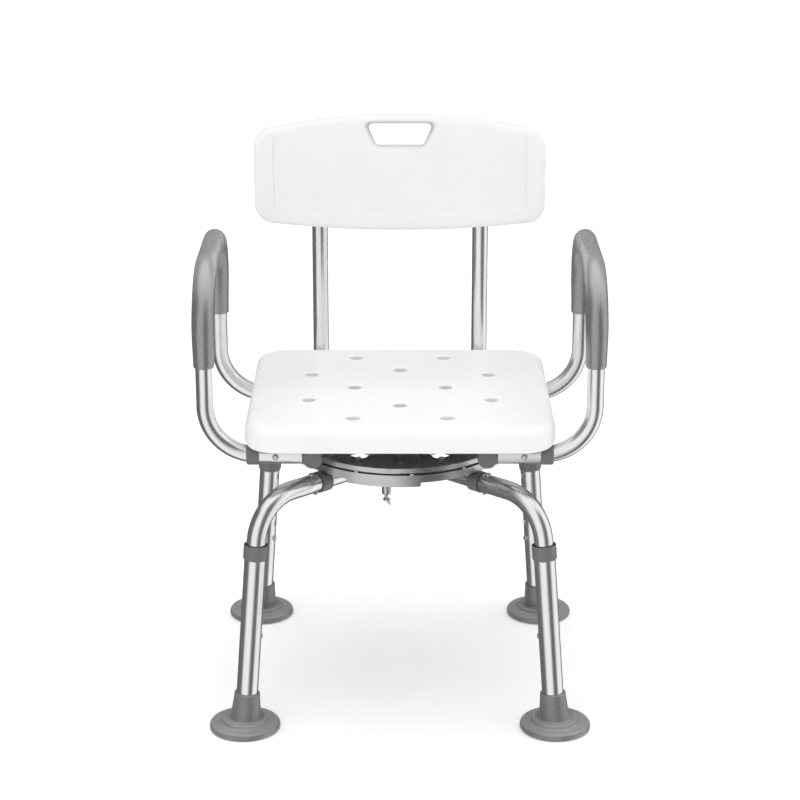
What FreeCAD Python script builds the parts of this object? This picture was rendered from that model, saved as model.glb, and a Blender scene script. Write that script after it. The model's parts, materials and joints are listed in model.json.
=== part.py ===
import FreeCAD, Part
import math
import os

# Swivel seat for bathing: four adjustable legs carry a crossed tube frame and a ball ring; the ring
# carries a turning frame with a moulded seat, a moulded back and two tube arms.
# Millimetres. Origin on the floor under the swivel axis, +Z up, the seat faces -Y, +X is the sitter's left.

V = FreeCAD.Vector
Z = V(0, 0, 1)

# tubes: outside radius and bore radius
leg_outer_r, leg_outer_bore = 14.3, 12.8
leg_inner_r, leg_inner_bore = 12.7, 11.2
cross_r, cross_bore = 11.1, 9.6
rail_r, rail_bore = 11.1, 9.6
stub_r, stub_bore = 12.7, 11.2
arm_r, arm_bore = 11.1, 9.6
post_r, post_bore = 11.1, 9.6
post_end_r, post_end_bore = 9.5, 8.0
slip = 0.05
far = 400.0

# legs
foot_x, foot_y = 207.1, 191.5
foot_reach = math.hypot(foot_x, foot_y)
knee_reach, knee_height = 258.8, 235.0
lean = math.atan((foot_reach - knee_reach) / knee_height)
leg_tube_low, leg_tube_top = 14.0, 250.0
collar_low, collar_top, collar_r = 236.5, 256.5, 16.2
leg_inner_low = 108.0
leg_button_height = 127.6
leg_hole_pitch, leg_hole_count = 25.0, 5
leg_hole_turn = math.radians(30)
corners = {"front_right": (-1, -1), "front_left": (1, -1), "rear_right": (-1, 1), "rear_left": (1, 1)}

# feet
foot_r, foot_rim_top, foot_top = 46.85, 9.3, 15.5
neck_low, neck_top, neck_low_r, neck_top_r = 8.0, 50.0, 20.5, 16.8

# snap buttons
button_r, button_hole_r, button_hole_reach, button_dome, button_proud = 4.0, 4.2, 20.0, 2.4, 3.0
leaf_width, leaf_thick, leaf_below, leaf_above = 7.0, 0.8, 6.0, 20.0
leg_leaf, bent_leaf, arm_leaf, post_leaf = 9.2, 8.2, 8.2, 6.6

# crossed frame and hub
frame_z = 315.0
frame_bend_r = 62.0
hub_r, hub_half = 34.0, 11.5
cross_start, cross_end = 20.0, 176.0
bushing_start, bushing_end, bushing_r = 133.5, 150.0, 14.3
bent_start = 150.5
frame_button_reach = 160.0
frame_rivet_reach = 153.5
rivet_r, rivet_hole_r = 1.9, 2.0
hub_edge = 1.5

# ball ring
ring_r, ring_bore_r, ring_wall = 144.0, 116.0, 2.5
lower_z, lower_floor, lower_wall_top = 329.0, 2.5, 339.6
track_r, ball_r, ball_count = 127.0, 5.0, 12
cage_inner, cage_outer, cage_low, cage_thick = 120.5, 133.4, 335.5, 2.0
upper_z = lower_z + lower_floor + 2 * ball_r
upper_web, upper_top, upper_bore_r, upper_wall, upper_edge = 2.0, 349.0, 108.0, 3.0, 1.5
keeper_outer, keeper_z, keeper_thick, keeper_sleeve_r = 124.0, 326.7, 1.9, 113.5
pad_angle, pad_wide, pad_gap, pad_inset = 6.2, 4.0, 0.12, 0.3
pad_count = 12
ring_screw_reach, ring_screw_r, ring_screw_head, ring_screw_low = 136.8, 2.5, 4.2, 319.0
clamp_screw_r, clamp_screw_circle, clamp_screw_count = 2.4, 110.7, 6

# lock on the front of the lower ring
lock_circle, lock_x = 136.5, -18.0
lock_y = -math.sqrt(lock_circle ** 2 - lock_x ** 2)
lock_pin_r, lock_slide_r, lock_hole_r, lock_travel = 2.5, 2.6, 2.8, 6.0
lock_barrel_r, lock_barrel_low, lock_barrel_floor, lock_bore_r = 6.0, 311.5, 3.0, 4.2
shoulder_low, shoulder_thick = 319.5, 2.0
spring_low, spring_high, spring_r, spring_wire, spring_turns = 315.0, 319.0, 3.45, 0.45, 6
bracket_low, bracket_from_x, bracket_to_x = 323.6, -71.0, 27.5
bracket_ledge, bracket_inner_r = 2.4, 127.0
bracket_round = 3.0
pull_r, pull_tip_z, pull_lean, pull_tab_thick = 4.5, 296.5, 5.0, 3.0

# turning plate and release lever
plate_r, plate_thick = 140.6, 2.5
plate_z = upper_z + upper_web
plate_top = plate_z + plate_thick
kidney_inner, kidney_outer, kidney_from, kidney_to, kidney_round = 60.0, 106.0, 27.0, 41.0, 6.0
pivot_y, pivot_bolt_r = -95.0, 3.0
lever_z, lever_r, lever_boss_r, lever_lift = 352.7, 3.0, 6.5, 0.2
lever_tail_half, lever_tail_long, lever_tail_high = 4.0, 22.0, 3.0
lever_elbow = (92.0, -3.0)
lever_end = (182.0, 24.0)
lever_bend_r = 40.0
lever_grip_r, lever_grip_long = 6.0, 34.0

# turning frame
rail_x, rail_z = 114.0, 367.5
rail_front, rail_rear = -157.0, 165.0
arm_front, arm_rear = -137.0, 124.0
tee_half, tee_r, tee_branch_r, tee_end = 17.0, 13.0, 13.9, 128.0
stub_end, spigot_end, arm_inset = 187.9, 145.0, 148.0
arm_collar_from, arm_collar_to, arm_collar_r = 184.0, 201.0, 14.0
arm_button_x = 162.5
saddle_y, saddle_x_size, saddle_y_size, saddle_top = 55.0, 18.0, 20.0, 362.0
saddle_screw_r, screw_head_r, screw_head_high = 2.9, 5.0, 3.0
cap_thick, cap_plug = 2.6, 9.0

# arms
arm_x, arm_top_z = 254.0, 602.0
arm_low_bend, arm_front_bend, arm_rear_bend = 66.0, 90.0, 50.0
grip_r, grip_low_z, grip_round = 15.0, 486.5, 2.0

# seat
seat_half, seat_front, seat_rear = 203.0, -180.5, 187.0
seat_low, seat_top, seat_corner, seat_round = 380.0, 415.0, 45.0, 10.0
seat_skin, seat_wall = 5.0, 4.5
seat_mid = 7.0
rib_half, rib_low, rib_bite = 1.5, 386.0, 3.0
cross_ribs, long_ribs = (-118.0, -28.0, 28.0, 118.0), (-92.0, -31.0, 31.0, 92.0)
drain_r, drain_wall, drain_low = 9.0, 2.5, 394.0
drain_places = [(62.0, 135.0), (62.0, 0.0), (0.0, 79.2), (122.4, 56.4)]
boss_r, boss_y, boss_hole_top = 10.0, (-100.0, 95.0), 403.0

# back
post_y, post_bend_r, post_top_z, post_insert = 205.0, 33.0, 724.0, 130.0
back_button_y = 148.0
back_half, back_front, back_thick = 204.0, 186.0, 14.0
back_sag = 17.0
back_top_z, back_low_z, back_top_drop, back_low_rise = 754.4, 588.4, 21.0, 17.0
back_corner, back_edge_round, socket_round = 28.0, 5.0, 3.0
slot_low_z, slot_high_z, slot_low_half, slot_high_half, slot_corner = 710.5, 741.5, 33.0, 47.0, 6.0
socket_r, socket_low, socket_top = 14.6, 604.0, 728.0
back_screw_z, back_screw_r = 620.0, 2.0


def rod(start, end, radius):
    return Part.makeCylinder(radius, (end - start).Length, start, end - start)


def pipe(start, end, outer, bore):
    return rod(start, end, outer).cut(rod(start, end, bore))


def box(low, high):
    size = high - low
    return Part.makeBox(size.x, size.y, size.z, low)


def turned(profile, base=V(0, 0, 0), axis=Z):
    """Solid of revolution about base and axis, from (radius, height) points."""
    points = [V(r, 0, h) for r, h in profile]
    face = Part.Face(Part.makePolygon(points + points[:1]))
    solid = face.revolve(V(0, 0, 0), Z, 360)
    solid.Placement = FreeCAD.Placement(base, FreeCAD.Rotation(Z, axis))
    return solid


def annulus(outer, bore, low, high):
    return pipe(V(0, 0, low), V(0, 0, high), outer, bore)


def rounded_wire(points, radii):
    """Straight runs joined by tangent arcs, one radius for each inner point."""
    edges, start = [], points[0]
    for before, corner, after, radius in zip(points, points[1:], points[2:], radii):
        to_before = (before - corner).normalize()
        to_after = (after - corner).normalize()
        half = to_before.getAngle(to_after) / 2
        back_off = radius / math.tan(half)
        arc_in, arc_out = corner + to_before * back_off, corner + to_after * back_off
        middle = (to_before + to_after).normalize()
        arc_mid = corner + middle * (radius / math.sin(half) - radius)
        if (arc_in - start).Length > 1e-6:
            edges.append(Part.makeLine(start, arc_in))
        edges.append(Part.Arc(arc_in, arc_mid, arc_out).toShape())
        start = arc_out
    edges.append(Part.makeLine(start, points[-1]))
    return Part.Wire(edges)


def swept(points, radii, radius):
    profile = Part.Wire(Part.makeCircle(radius, points[0], points[1] - points[0]))
    return rounded_wire(points, radii).makePipeShell([profile], True, False)


def bent_tube(points, radii, outer, bore):
    return swept(points, radii, outer).cut(swept(points, radii, bore))


def round_edges(solid, radius, wanted):
    return solid.makeFillet(radius, [edge for edge in solid.Edges if wanted(edge)])


def is_ring(edge, radius):
    return isinstance(edge.Curve, Part.Circle) and abs(edge.Curve.Radius - radius) < 0.01


def save(name, solids):
    shape = solids[0] if len(solids) == 1 else Part.makeCompound(solids)
    shape.exportStep("parts/" + name + ".step")


class Leg:
    """One corner: heights are measured up the leaning leg from the floor."""

    def __init__(self, sign_x, sign_y):
        self.out = V(sign_x * foot_x, sign_y * foot_y, 0).normalize()
        self.up = self.out * -math.sin(lean) + Z * math.cos(lean)
        self.foot = self.out * foot_reach
        toward = V(-sign_x * math.cos(leg_hole_turn), -sign_y * math.sin(leg_hole_turn), 0)
        self.hole = (toward - self.up * toward.dot(self.up)).normalize()

    def at(self, height):
        return self.foot + self.up * height

    def frame(self, reach, drop=0.0):
        return self.out * reach + Z * (frame_z - drop)


legs = {name: Leg(*signs) for name, signs in corners.items()}


def snap_button(centre, out, along, leaf_at, tip):
    """Domed pin on a leaf spring that lies inside the inner tube."""
    pin = rod(V(leaf_at - leaf_thick, 0, 0), V(tip, 0, 0), button_r)
    pin = round_edges(pin, button_dome,
                      lambda edge: is_ring(edge, button_r) and edge.CenterOfMass.x > leaf_at)
    leaf = box(V(leaf_at - leaf_thick, -leaf_width / 2, -leaf_below),
               V(leaf_at, leaf_width / 2, leaf_above))
    solid = pin.fuse(leaf).removeSplitter()
    solid.Placement = FreeCAD.Placement(centre, FreeCAD.Rotation(out, V(0, 0, 0), along, "XZY"))
    return solid


def button_hole(centre, out):
    return rod(centre, centre + out * button_hole_reach, button_hole_r)


def make_leg(name, leg):
    tube = pipe(leg.at(leg_tube_low), leg.at(leg_tube_top), leg_outer_r, leg_outer_bore)
    for step in range(leg_hole_count):
        tube = tube.cut(button_hole(leg.at(leg_button_height + step * leg_hole_pitch), leg.hole))
    save("leg_tube_" + name, [tube])

    mouth = leg_inner_r + 0.2
    collar = turned([(leg_outer_r + slip, collar_low), (collar_r - 0.8, collar_low),
                     (collar_r, collar_low + 1.5), (collar_r, collar_top - 1.5),
                     (collar_r - 1.2, collar_top), (mouth, collar_top), (mouth, leg_tube_top),
                     (leg_outer_r + slip, leg_tube_top)], leg.foot, leg.up)
    save("leg_collar_" + name, [collar])

    pad = turned([(0, 2.5), (34, 2.5), (38, 0), (44.5, 0), (foot_r, 2.4), (foot_r, 6.2),
                  (45.2, foot_rim_top), (42, 9.8), (32.5, 10.8), (30.5, 13.6), (26, foot_top),
                  (0, foot_top)], leg.foot)
    neck = Part.makeCone(neck_low_r, neck_top_r, neck_top - neck_low, leg.at(neck_low), leg.up)
    foot = pad.fuse(neck).cut(rod(leg.at(leg_tube_low), leg.at(neck_top + 5), leg_outer_r + slip))
    save("foot_" + name, [foot])

    button = snap_button(leg.at(leg_button_height), leg.hole, leg.up, leg_leaf, leg_outer_r + button_proud)
    save("leg_button_" + name, [button])


def make_bent_leg(name, leg):
    """The tube is returned; its button is a node of its own."""
    corner_reach = foot_reach - math.tan(lean) * frame_z
    points = [leg.frame(bent_start), leg.out * corner_reach + Z * frame_z, leg.at(leg_inner_low)]
    tube = bent_tube(points, [frame_bend_r], leg_inner_r, leg_inner_bore)
    tube = tube.cut(button_hole(leg.at(leg_button_height), leg.hole))
    tube = tube.cut(button_hole(leg.frame(frame_button_reach), Z))
    tube = tube.cut(rivet_hole(leg))
    button = snap_button(leg.frame(frame_button_reach), Z, leg.out * -1, bent_leaf,
                         leg_inner_r + button_proud)
    save("frame_button_" + name, [button])
    return tube


def rivet_hole(leg):
    return rod(leg.frame(frame_rivet_reach), leg.frame(frame_rivet_reach, hub_r), rivet_hole_r)


def make_crossed_frame():
    hub = rod(V(0, 0, frame_z - hub_half), V(0, 0, frame_z + hub_half), hub_r)
    hub = round_edges(hub, hub_edge, lambda edge: is_ring(edge, hub_r))
    tubes, bushings, rivets, screws = [], [], [], []
    for leg in legs.values():
        hub = hub.cut(rod(leg.frame(cross_start), leg.frame(hub_r + 2), cross_r + slip))
        screw_at = leg.frame(ring_screw_reach)
        screw_hole = rod(screw_at, screw_at + Z * hub_r, ring_screw_r + slip)
        tube = pipe(leg.frame(cross_start), leg.frame(cross_end), cross_r, cross_bore)
        tube = tube.cut(button_hole(leg.frame(frame_button_reach), Z)).cut(screw_hole)
        tubes.append(tube.cut(rivet_hole(leg)))
        bushing = pipe(leg.frame(bushing_start), leg.frame(bushing_end), bushing_r, cross_r + slip)
        bushing = bushing.cut(screw_hole)
        lid = box(V(-far, -far, lower_z), V(far, far, upper_top))
        bushings.append(bushing.cut(lid))
        rivets.append(turned([(0, 5.6), (2.9, 5.6), (2.9, 4.4), (rivet_r, 4.4), (rivet_r, -1.6), (3.2, -1.9),
                              (2.2, -3.2), (0, -3.6)], leg.frame(frame_rivet_reach, leg_inner_r)))
        head = ring_screw_head - ring_screw_r
        top = lower_z + lower_floor
        screws.append(turned([(0, ring_screw_low), (ring_screw_r, ring_screw_low),
                              (ring_screw_r, top - head),
                              (ring_screw_head, top), (0, top)], leg.out * ring_screw_reach))
    save("hub_block", [hub])
    save("cross_tubes", tubes)
    save("frame_bushings", bushings)
    save("frame_fasteners", rivets + screws)


def make_lower_ring():
    ring = annulus(ring_r, ring_bore_r, lower_z, lower_z + lower_floor)
    ring = ring.fuse(annulus(ring_r, ring_r - ring_wall, lower_z, lower_wall_top)).removeSplitter()
    head = ring_screw_head - ring_screw_r
    for leg in legs.values():
        ring = ring.cut(turned([(0, lower_z - 1), (ring_screw_r + slip, lower_z - 1),
                                (ring_screw_r + slip, lower_z + lower_floor - head),
                                (ring_screw_head + slip, lower_z + lower_floor), (0, lower_z + lower_floor)],
                               leg.out * ring_screw_reach))
    ring = ring.cut(rod(V(lock_x, lock_y, 0), V(lock_x, lock_y, upper_top), lock_slide_r))
    save("lower_ring", [ring])

    pads = []
    for step in range(pad_count):
        pad = box(V(ring_r - ring_wall, -pad_wide / 2, lower_wall_top),
                  V(ring_r - pad_inset, pad_wide / 2, upper_z - pad_gap))
        pad.rotate(V(0, 0, 0), Z, pad_angle + 360 / pad_count * step - 90)
        pads.append(pad)
    save("glide_pads", pads)

    balls = []
    cage = annulus(cage_outer, cage_inner, cage_low, cage_low + cage_thick)
    for step in range(ball_count):
        angle = 2 * math.pi * (step + 0.5) / ball_count
        centre = V(track_r * math.cos(angle), track_r * math.sin(angle), lower_z + lower_floor + ball_r)
        balls.append(Part.makeSphere(ball_r, centre))
        cage = cage.cut(rod(centre - Z * ball_r, centre + Z * ball_r, ball_r + 2 * slip))
    save("bearing_balls", balls)
    save("ball_cage", [cage])


def lock_holes(low, high):
    """Four holes a quarter turn apart, one of them over the lock pin at rest."""
    holes = []
    for quarter in range(4):
        hole = rod(V(lock_x, lock_y, low - 1), V(lock_x, lock_y, high + 1), lock_hole_r)
        hole.rotate(V(0, 0, 0), Z, 90 * quarter)
        holes.append(hole)
    return holes


def clamp_holes(radius, low, high):
    holes = []
    for step in range(clamp_screw_count):
        hole = rod(V(clamp_screw_circle, 0, low), V(clamp_screw_circle, 0, high), radius)
        hole.rotate(V(0, 0, 0), Z, 360 / clamp_screw_count * step)
        holes.append(hole)
    return holes


def saddle_places():
    return [(x, y) for x in (-rail_x, rail_x) for y in (-saddle_y, saddle_y)]


def make_upper_ring():
    ring = annulus(ring_r, upper_bore_r, upper_z, upper_z + upper_web)
    ring = ring.fuse(annulus(ring_r, ring_r - upper_wall, upper_z, upper_top)).removeSplitter()
    ring = round_edges(ring, upper_edge,
                       lambda edge: is_ring(edge, ring_r) and abs(edge.CenterOfMass.z - upper_z) < 0.01)
    keeper = annulus(keeper_outer, upper_bore_r, keeper_z, keeper_z + keeper_thick)
    keeper = keeper.fuse(annulus(keeper_sleeve_r, upper_bore_r, keeper_z, upper_z)).removeSplitter()
    plate = rod(V(0, 0, plate_z), V(0, 0, plate_top), plate_r)
    for tool in lock_holes(upper_z, plate_top):
        ring, plate = ring.cut(tool), plate.cut(tool)
    for tool in clamp_holes(clamp_screw_r + slip, keeper_z + 1, plate_top + 1):
        ring, plate, keeper = ring.cut(tool), plate.cut(tool), keeper.cut(tool)
    for x, y in saddle_places():
        tool = rod(V(x, y, upper_z), V(x, y, plate_top), saddle_screw_r + slip)
        ring, plate = ring.cut(tool), plate.cut(tool)
    for turn in (kidney_from - 90, -kidney_to - 90, kidney_from + 90, 90 - kidney_to):
        plate = plate.cut(kidney(turn))
    plate = plate.cut(rod(V(0, pivot_y, plate_z - 1), V(0, pivot_y, plate_top + 1), pivot_bolt_r + slip))
    save("upper_ring", [ring])
    save("keeper_ring", [keeper])
    save("turning_plate", [plate])

    screws = []
    for shaft in clamp_holes(clamp_screw_r, keeper_z + 1.2, plate_top):
        centre = V(shaft.CenterOfMass.x, shaft.CenterOfMass.y, plate_top)
        screws.append(shaft.fuse(turned([(0, 0), (4.6, 0), (4.6, 1.2), (3.4, 2.4), (0, 2.4)], centre)))
    bolt_top = lever_z + lever_r
    screws.append(turned([(0, plate_z - 1.5), (pivot_bolt_r, plate_z - 1.5), (pivot_bolt_r, bolt_top + 0.1),
                          (5.5, bolt_top + 0.1), (5.5, bolt_top + 2.4), (4.4, bolt_top + 3.4),
                          (0, bolt_top + 3.4)],
                         V(0, pivot_y, 0)))
    save("plate_fasteners", screws)


def kidney(turn):
    """Curved window with rounded ends between two circles."""
    sweep = kidney_to - kidney_from
    band = annulus(kidney_outer, kidney_inner, plate_z - 1, plate_top + 1)
    wedge = Part.Face(Part.makePolygon([V(0, 0, plate_z - 1), V(far, 0, plate_z - 1),
                                        V(far, far * math.tan(math.radians(sweep)), plate_z - 1),
                                        V(0, 0, plate_z - 1)])).extrude(Z * 4 * plate_thick)
    window = band.common(wedge)
    window = round_edges(window, kidney_round, lambda edge: abs(edge.Length - plate_thick - 2) < 0.01)
    window.rotate(V(0, 0, 0), Z, turn)
    return window


def make_lock():
    centre = V(lock_x, lock_y, 0)
    skirt = annulus(ring_r, ring_r - ring_wall, bracket_low, lower_z)
    ledge = annulus(ring_r, bracket_inner_r, bracket_low, bracket_low + bracket_ledge)
    zone = box(V(bracket_from_x, -far, bracket_low), V(bracket_to_x, 0, lower_z))
    bracket = skirt.fuse(ledge).removeSplitter().common(zone)
    corner = bracket.BoundBox
    lowest = [corner.XMin, corner.XMax]
    bracket = round_edges(bracket, bracket_round, lambda edge: abs(edge.CenterOfMass.z - bracket_low) < 0.01
                          and min(abs(edge.CenterOfMass.x - x) for x in lowest) < 1.5)
    bracket = bracket.cut(rod(centre, centre + Z * lower_z, lock_barrel_r + slip))
    save("lock_bracket", [bracket])

    floor = lock_barrel_low + lock_barrel_floor
    barrel = turned([(lock_slide_r, lock_barrel_low), (lock_barrel_r - 1, lock_barrel_low),
                     (lock_barrel_r, lock_barrel_low + 1), (lock_barrel_r, lower_z), (lock_bore_r, lower_z),
                     (lock_bore_r, floor), (lock_slide_r, floor)], centre)
    save("lock_barrel", [barrel])

    low = lock_barrel_low - lock_travel
    pin = rod(centre + Z * (low - 4), centre + Z * (upper_z - 0.7), lock_pin_r)
    pin = round_edges(pin, 1.0, lambda edge: is_ring(edge, lock_pin_r) and edge.CenterOfMass.z > lower_z)
    shoulder_at = centre + Z * shoulder_low
    shoulder = rod(shoulder_at, shoulder_at + Z * shoulder_thick, lock_bore_r - 2 * slip)
    save("lock_pin", [pin.fuse(shoulder).removeSplitter()])

    cap = turned([(lock_pin_r, low - 3), (pull_r - 0.8, low - 3), (pull_r, low - 2), (pull_r, low - 0.8),
                  (pull_r - 0.8, low), (lock_pin_r, low)], centre)
    tab = Part.Face(Part.makePolygon([V(-1.5, 0, low - 1), V(4.2, 0, low - 1), V(5.2, 0, low - 3),
                                      V(pull_lean + 0.8, 0, pull_tip_z), V(pull_lean - 0.6, 0, pull_tip_z),
                                      V(1.0, 0, low - 4.5), V(-1.5, 0, low - 1)]))
    tab = tab.extrude(V(0, pull_tab_thick, 0))
    tab.translate(centre - V(0, pull_r + 0.4, 0))
    pull = cap.fuse(tab).removeSplitter()
    save("lock_pull", [pull.cut(rod(centre, centre + Z * lower_z, lock_pin_r))])

    save("lock_spring", [lock_spring(centre)])


def lock_spring(centre):
    """Compression spring round the pin, between the barrel's floor and the pin's shoulder."""
    height = spring_high - spring_low
    helix = Part.makeHelix(height / spring_turns, height, spring_r)
    profile = Part.Wire(Part.makeCircle(spring_wire, V(spring_r, 0, 0), V(0, 1, 0)))
    coil = Part.Wire(helix.Edges).makePipeShell([profile], True, True)
    coil.translate(centre + Z * spring_low)
    return coil


def make_lever():
    pivot = V(0, pivot_y, lever_z)
    elbow, end = V(*lever_elbow, lever_z), V(*lever_end, lever_z)
    bar = swept([pivot, elbow, end], [lever_bend_r], lever_r)
    under = plate_top + lever_lift
    boss = rod(V(0, pivot_y, under), pivot + Z * lever_r, lever_boss_r)
    tail = box(V(-lever_tail_half, pivot_y - lever_tail_long, under),
               V(lever_tail_half, pivot_y, plate_top + lever_tail_high))
    lever = bar.fuse(boss).fuse(tail).cut(rod(V(0, pivot_y, 0), V(0, pivot_y, far), pivot_bolt_r + slip))
    save("release_lever", [lever.removeSplitter()])

    run = (end - elbow).normalize()
    tip, floor = lever_grip_long + 2, lever_grip_long - 2
    grip = turned([(lever_r, 0), (lever_grip_r - 1, 0), (lever_grip_r, 1.2), (lever_grip_r, tip - 5),
                   (lever_grip_r - 2.5, tip), (0, tip), (0, floor), (lever_r, floor)],
                  end - run * floor, run)
    save("lever_grip", [grip])


def screw_hole(x, y):
    return rod(V(x, y, 0), V(x, y, boss_hole_top), saddle_screw_r + slip)


def arm_places():
    return [(side, y) for side in (-1, 1) for y in (arm_front, arm_rear)]


def make_turning_frame():
    rails, tees, stubs, collars, saddles, screws, caps = [], [], [], [], [], [], []
    for side in (-1, 1):
        x = side * rail_x
        rail = pipe(V(x, rail_front, rail_z), V(x, rail_rear, rail_z), rail_r, rail_bore)
        rail = rail.cut(button_hole(V(x, back_button_y, rail_z), V(side, 0, 0)))
        for y in (*boss_y, -saddle_y, saddle_y):
            rail = rail.cut(screw_hole(x, y))
        for y in (-saddle_y, saddle_y):
            block = box(V(x - saddle_x_size / 2, y - saddle_y_size / 2, plate_top),
                        V(x + saddle_x_size / 2, y + saddle_y_size / 2, saddle_top))
            block = round_edges(block, 2.0, lambda edge: abs(edge.Length - saddle_top + plate_top) < 0.01)
            block = block.cut(rod(V(x, y - 20, rail_z), V(x, y + 20, rail_z), rail_r + slip))
            saddles.append(block.cut(screw_hole(x, y)))
            low, seat_of_head = upper_z + 0.2, rail_z + rail_r
            top = seat_of_head + screw_head_high
            screws.append(turned([(0, low), (saddle_screw_r, low), (saddle_screw_r, seat_of_head),
                                  (screw_head_r, seat_of_head), (screw_head_r, top - 1),
                                  (screw_head_r - 1, top), (0, top)], V(x, y, 0)))
        rails.append(rail)
        caps.append(turned([(0, 0), (tee_r - 1.5, 0), (tee_r - 0.3, 1.0), (tee_r - 0.3, cap_thick),
                            (rail_bore - slip, cap_thick), (rail_bore - slip, cap_thick + cap_plug),
                            (0, cap_thick + cap_plug)], V(x, rail_front - cap_thick, rail_z), V(0, 1, 0)))
    for side, y in arm_places():
        x, out = side * rail_x, V(side, 0, 0)
        centre = V(x, y, rail_z)
        front = rail_front if y < 0 else y - tee_half
        tee = rod(V(x, front, rail_z), V(x, y + tee_half, rail_z), tee_r)
        tee = tee.fuse(rod(centre, V(side * tee_end, y, rail_z), tee_branch_r))
        tee = tee.fuse(rod(centre, V(side * spigot_end, y, rail_z), stub_bore - slip))
        tees.append(tee.cut(rod(V(x, -far, rail_z), V(x, far, rail_z), rail_r + slip)).removeSplitter())
        facing = V(0, math.copysign(1, y), 0)
        stub = pipe(V(side * tee_end, y, rail_z), V(side * stub_end, y, rail_z), stub_r, stub_bore)
        stubs.append(stub.cut(button_hole(V(side * arm_button_x, y, rail_z), facing)))
        collar = turned([(stub_r + slip, arm_collar_from), (arm_collar_r - 1, arm_collar_from),
                         (arm_collar_r, arm_collar_from + 1), (arm_collar_r, arm_collar_to - 1.5),
                         (arm_collar_r - 1.5, arm_collar_to), (arm_r, arm_collar_to), (arm_r, stub_end),
                         (stub_r + slip, stub_end)], V(0, y, rail_z), out)
        lower_arm = [V(side * arm_inset, y, rail_z), V(side * arm_x, y, rail_z),
                     V(side * arm_x, y, arm_top_z)]
        collars.append(collar.cut(swept(lower_arm, [arm_low_bend], arm_r + 2 * slip)))
    save("side_rails", rails)
    save("rail_fittings", tees + caps)
    save("arm_stubs", stubs)
    save("arm_collars", collars)
    save("rail_saddles", saddles)
    return screws


def arm_path(side):
    return [V(side * x, y, z) for x, y, z in (
        (arm_inset, arm_front, rail_z), (arm_x, arm_front, rail_z), (arm_x, arm_front, arm_top_z),
        (arm_x, arm_rear, arm_top_z), (arm_x, arm_rear, rail_z), (arm_inset, arm_rear, rail_z))]


def make_arm(name, side):
    bends = [arm_low_bend, arm_front_bend, arm_rear_bend, arm_low_bend]
    tube = bent_tube(arm_path(side), bends, arm_r, arm_bore)
    for place, y in (("front", arm_front), ("rear", arm_rear)):
        centre, facing = V(side * arm_button_x, y, rail_z), V(0, math.copysign(1, y), 0)
        tube = tube.cut(button_hole(centre, facing))
        button = snap_button(centre, facing, V(side, 0, 0), arm_leaf, stub_r + button_proud)
        save("arm_button_" + place + "_" + name, [button])
    save("arm_tube_" + name, [tube])

    run = [V(side * arm_x, arm_front, grip_low_z), *arm_path(side)[2:4],
           V(side * arm_x, arm_rear, grip_low_z)]
    grip = round_edges(swept(run, bends[1:3], grip_r), grip_round,
                       lambda edge: is_ring(edge, grip_r) and abs(edge.CenterOfMass.z - grip_low_z) < 0.01)
    save("arm_grip_" + name, [grip.cut(swept(run, bends[1:3], arm_r + slip))])


def rounded_block(low, high, corner, edge_round):
    block = box(low, high)
    block = round_edges(block, corner, lambda edge: abs(edge.Length - (high.z - low.z)) < 0.01)
    return round_edges(block, edge_round, lambda edge: abs(edge.CenterOfMass.z - high.z) < 0.01
                       or abs(edge.CenterOfMass.z - low.z) < 0.01) if edge_round else block


def boss_places():
    return [(x, y) for x in (-rail_x, rail_x) for y in boss_y]


def make_seat():
    shell = rounded_block(V(-seat_half, seat_front, seat_low), V(seat_half, seat_rear, seat_top),
                          seat_corner, seat_round)
    inset = V(seat_wall, seat_wall, 0)
    ceiling, bite = seat_top - seat_skin, seat_top - rib_bite
    hollow = rounded_block(V(-seat_half, seat_front, 0) + inset, V(seat_half, seat_rear, ceiling) - inset,
                           seat_corner - seat_wall, 0)
    hollow = round_edges(hollow, seat_round - seat_wall, lambda edge: edge.CenterOfMass.z > ceiling - 0.01)
    shell = shell.cut(hollow)
    for y in (seat_mid + offset for offset in cross_ribs):
        shell = shell.fuse(box(V(rib_bite - seat_half, y - rib_half, rib_low),
                               V(seat_half - rib_bite, y + rib_half, bite)))
    for x in long_ribs:
        shell = shell.fuse(box(V(x - rib_half, seat_front + rib_bite, rib_low),
                               V(x + rib_half, seat_rear - rib_bite, bite)))
    for x, y in boss_places():
        shell = shell.fuse(rod(V(x, y, rail_z + rail_r), V(x, y, bite), boss_r)).cut(screw_hole(x, y))
    places = {(sx * x, seat_mid + sy * y) for x, y in drain_places for sx in (-1, 1) for sy in (-1, 1)}
    for x, y in sorted(places):
        shell = shell.fuse(rod(V(x, y, drain_low), V(x, y, seat_top - 1), drain_r + drain_wall))
    for x, y in sorted(places):
        shell = shell.cut(rod(V(x, y, 0), V(x, y, far + seat_top), drain_r))
    save("seat_panel", [shell.removeSplitter()])

    under = rail_z - rail_r
    return [turned([(0, under - 3), (screw_head_r - 1, under - 3), (screw_head_r, under - 2),
                    (screw_head_r, under), (saddle_screw_r, under), (saddle_screw_r, boss_hole_top - 2),
                    (0, boss_hole_top - 2)], V(x, y, 0)) for x, y in boss_places()]


def make_back_post(name, side):
    x = side * rail_x
    foot = V(x, rail_rear, rail_z)
    path = [foot, V(x, post_y, rail_z), V(x, post_y, post_top_z)]
    post = swept(path, [post_bend_r], post_r).cut(swept(path, [post_bend_r], post_bore))
    tail = pipe(V(x, post_insert, rail_z), foot, post_end_r, post_end_bore)
    neck = annulus(post_r, post_end_bore, 0, 3)
    neck.Placement = FreeCAD.Placement(foot, FreeCAD.Rotation(Z, V(0, 1, 0)))
    post = post.fuse(tail).fuse(neck).removeSplitter()
    centre, facing = V(x, back_button_y, rail_z), V(side, 0, 0)
    post = post.cut(button_hole(centre, facing))
    save("back_post_" + name, [post.cut(back_screw_hole(x))])
    button = snap_button(centre, facing, V(0, -1, 0), post_leaf, rail_r + button_proud)
    save("back_button_" + name, [button])


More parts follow.
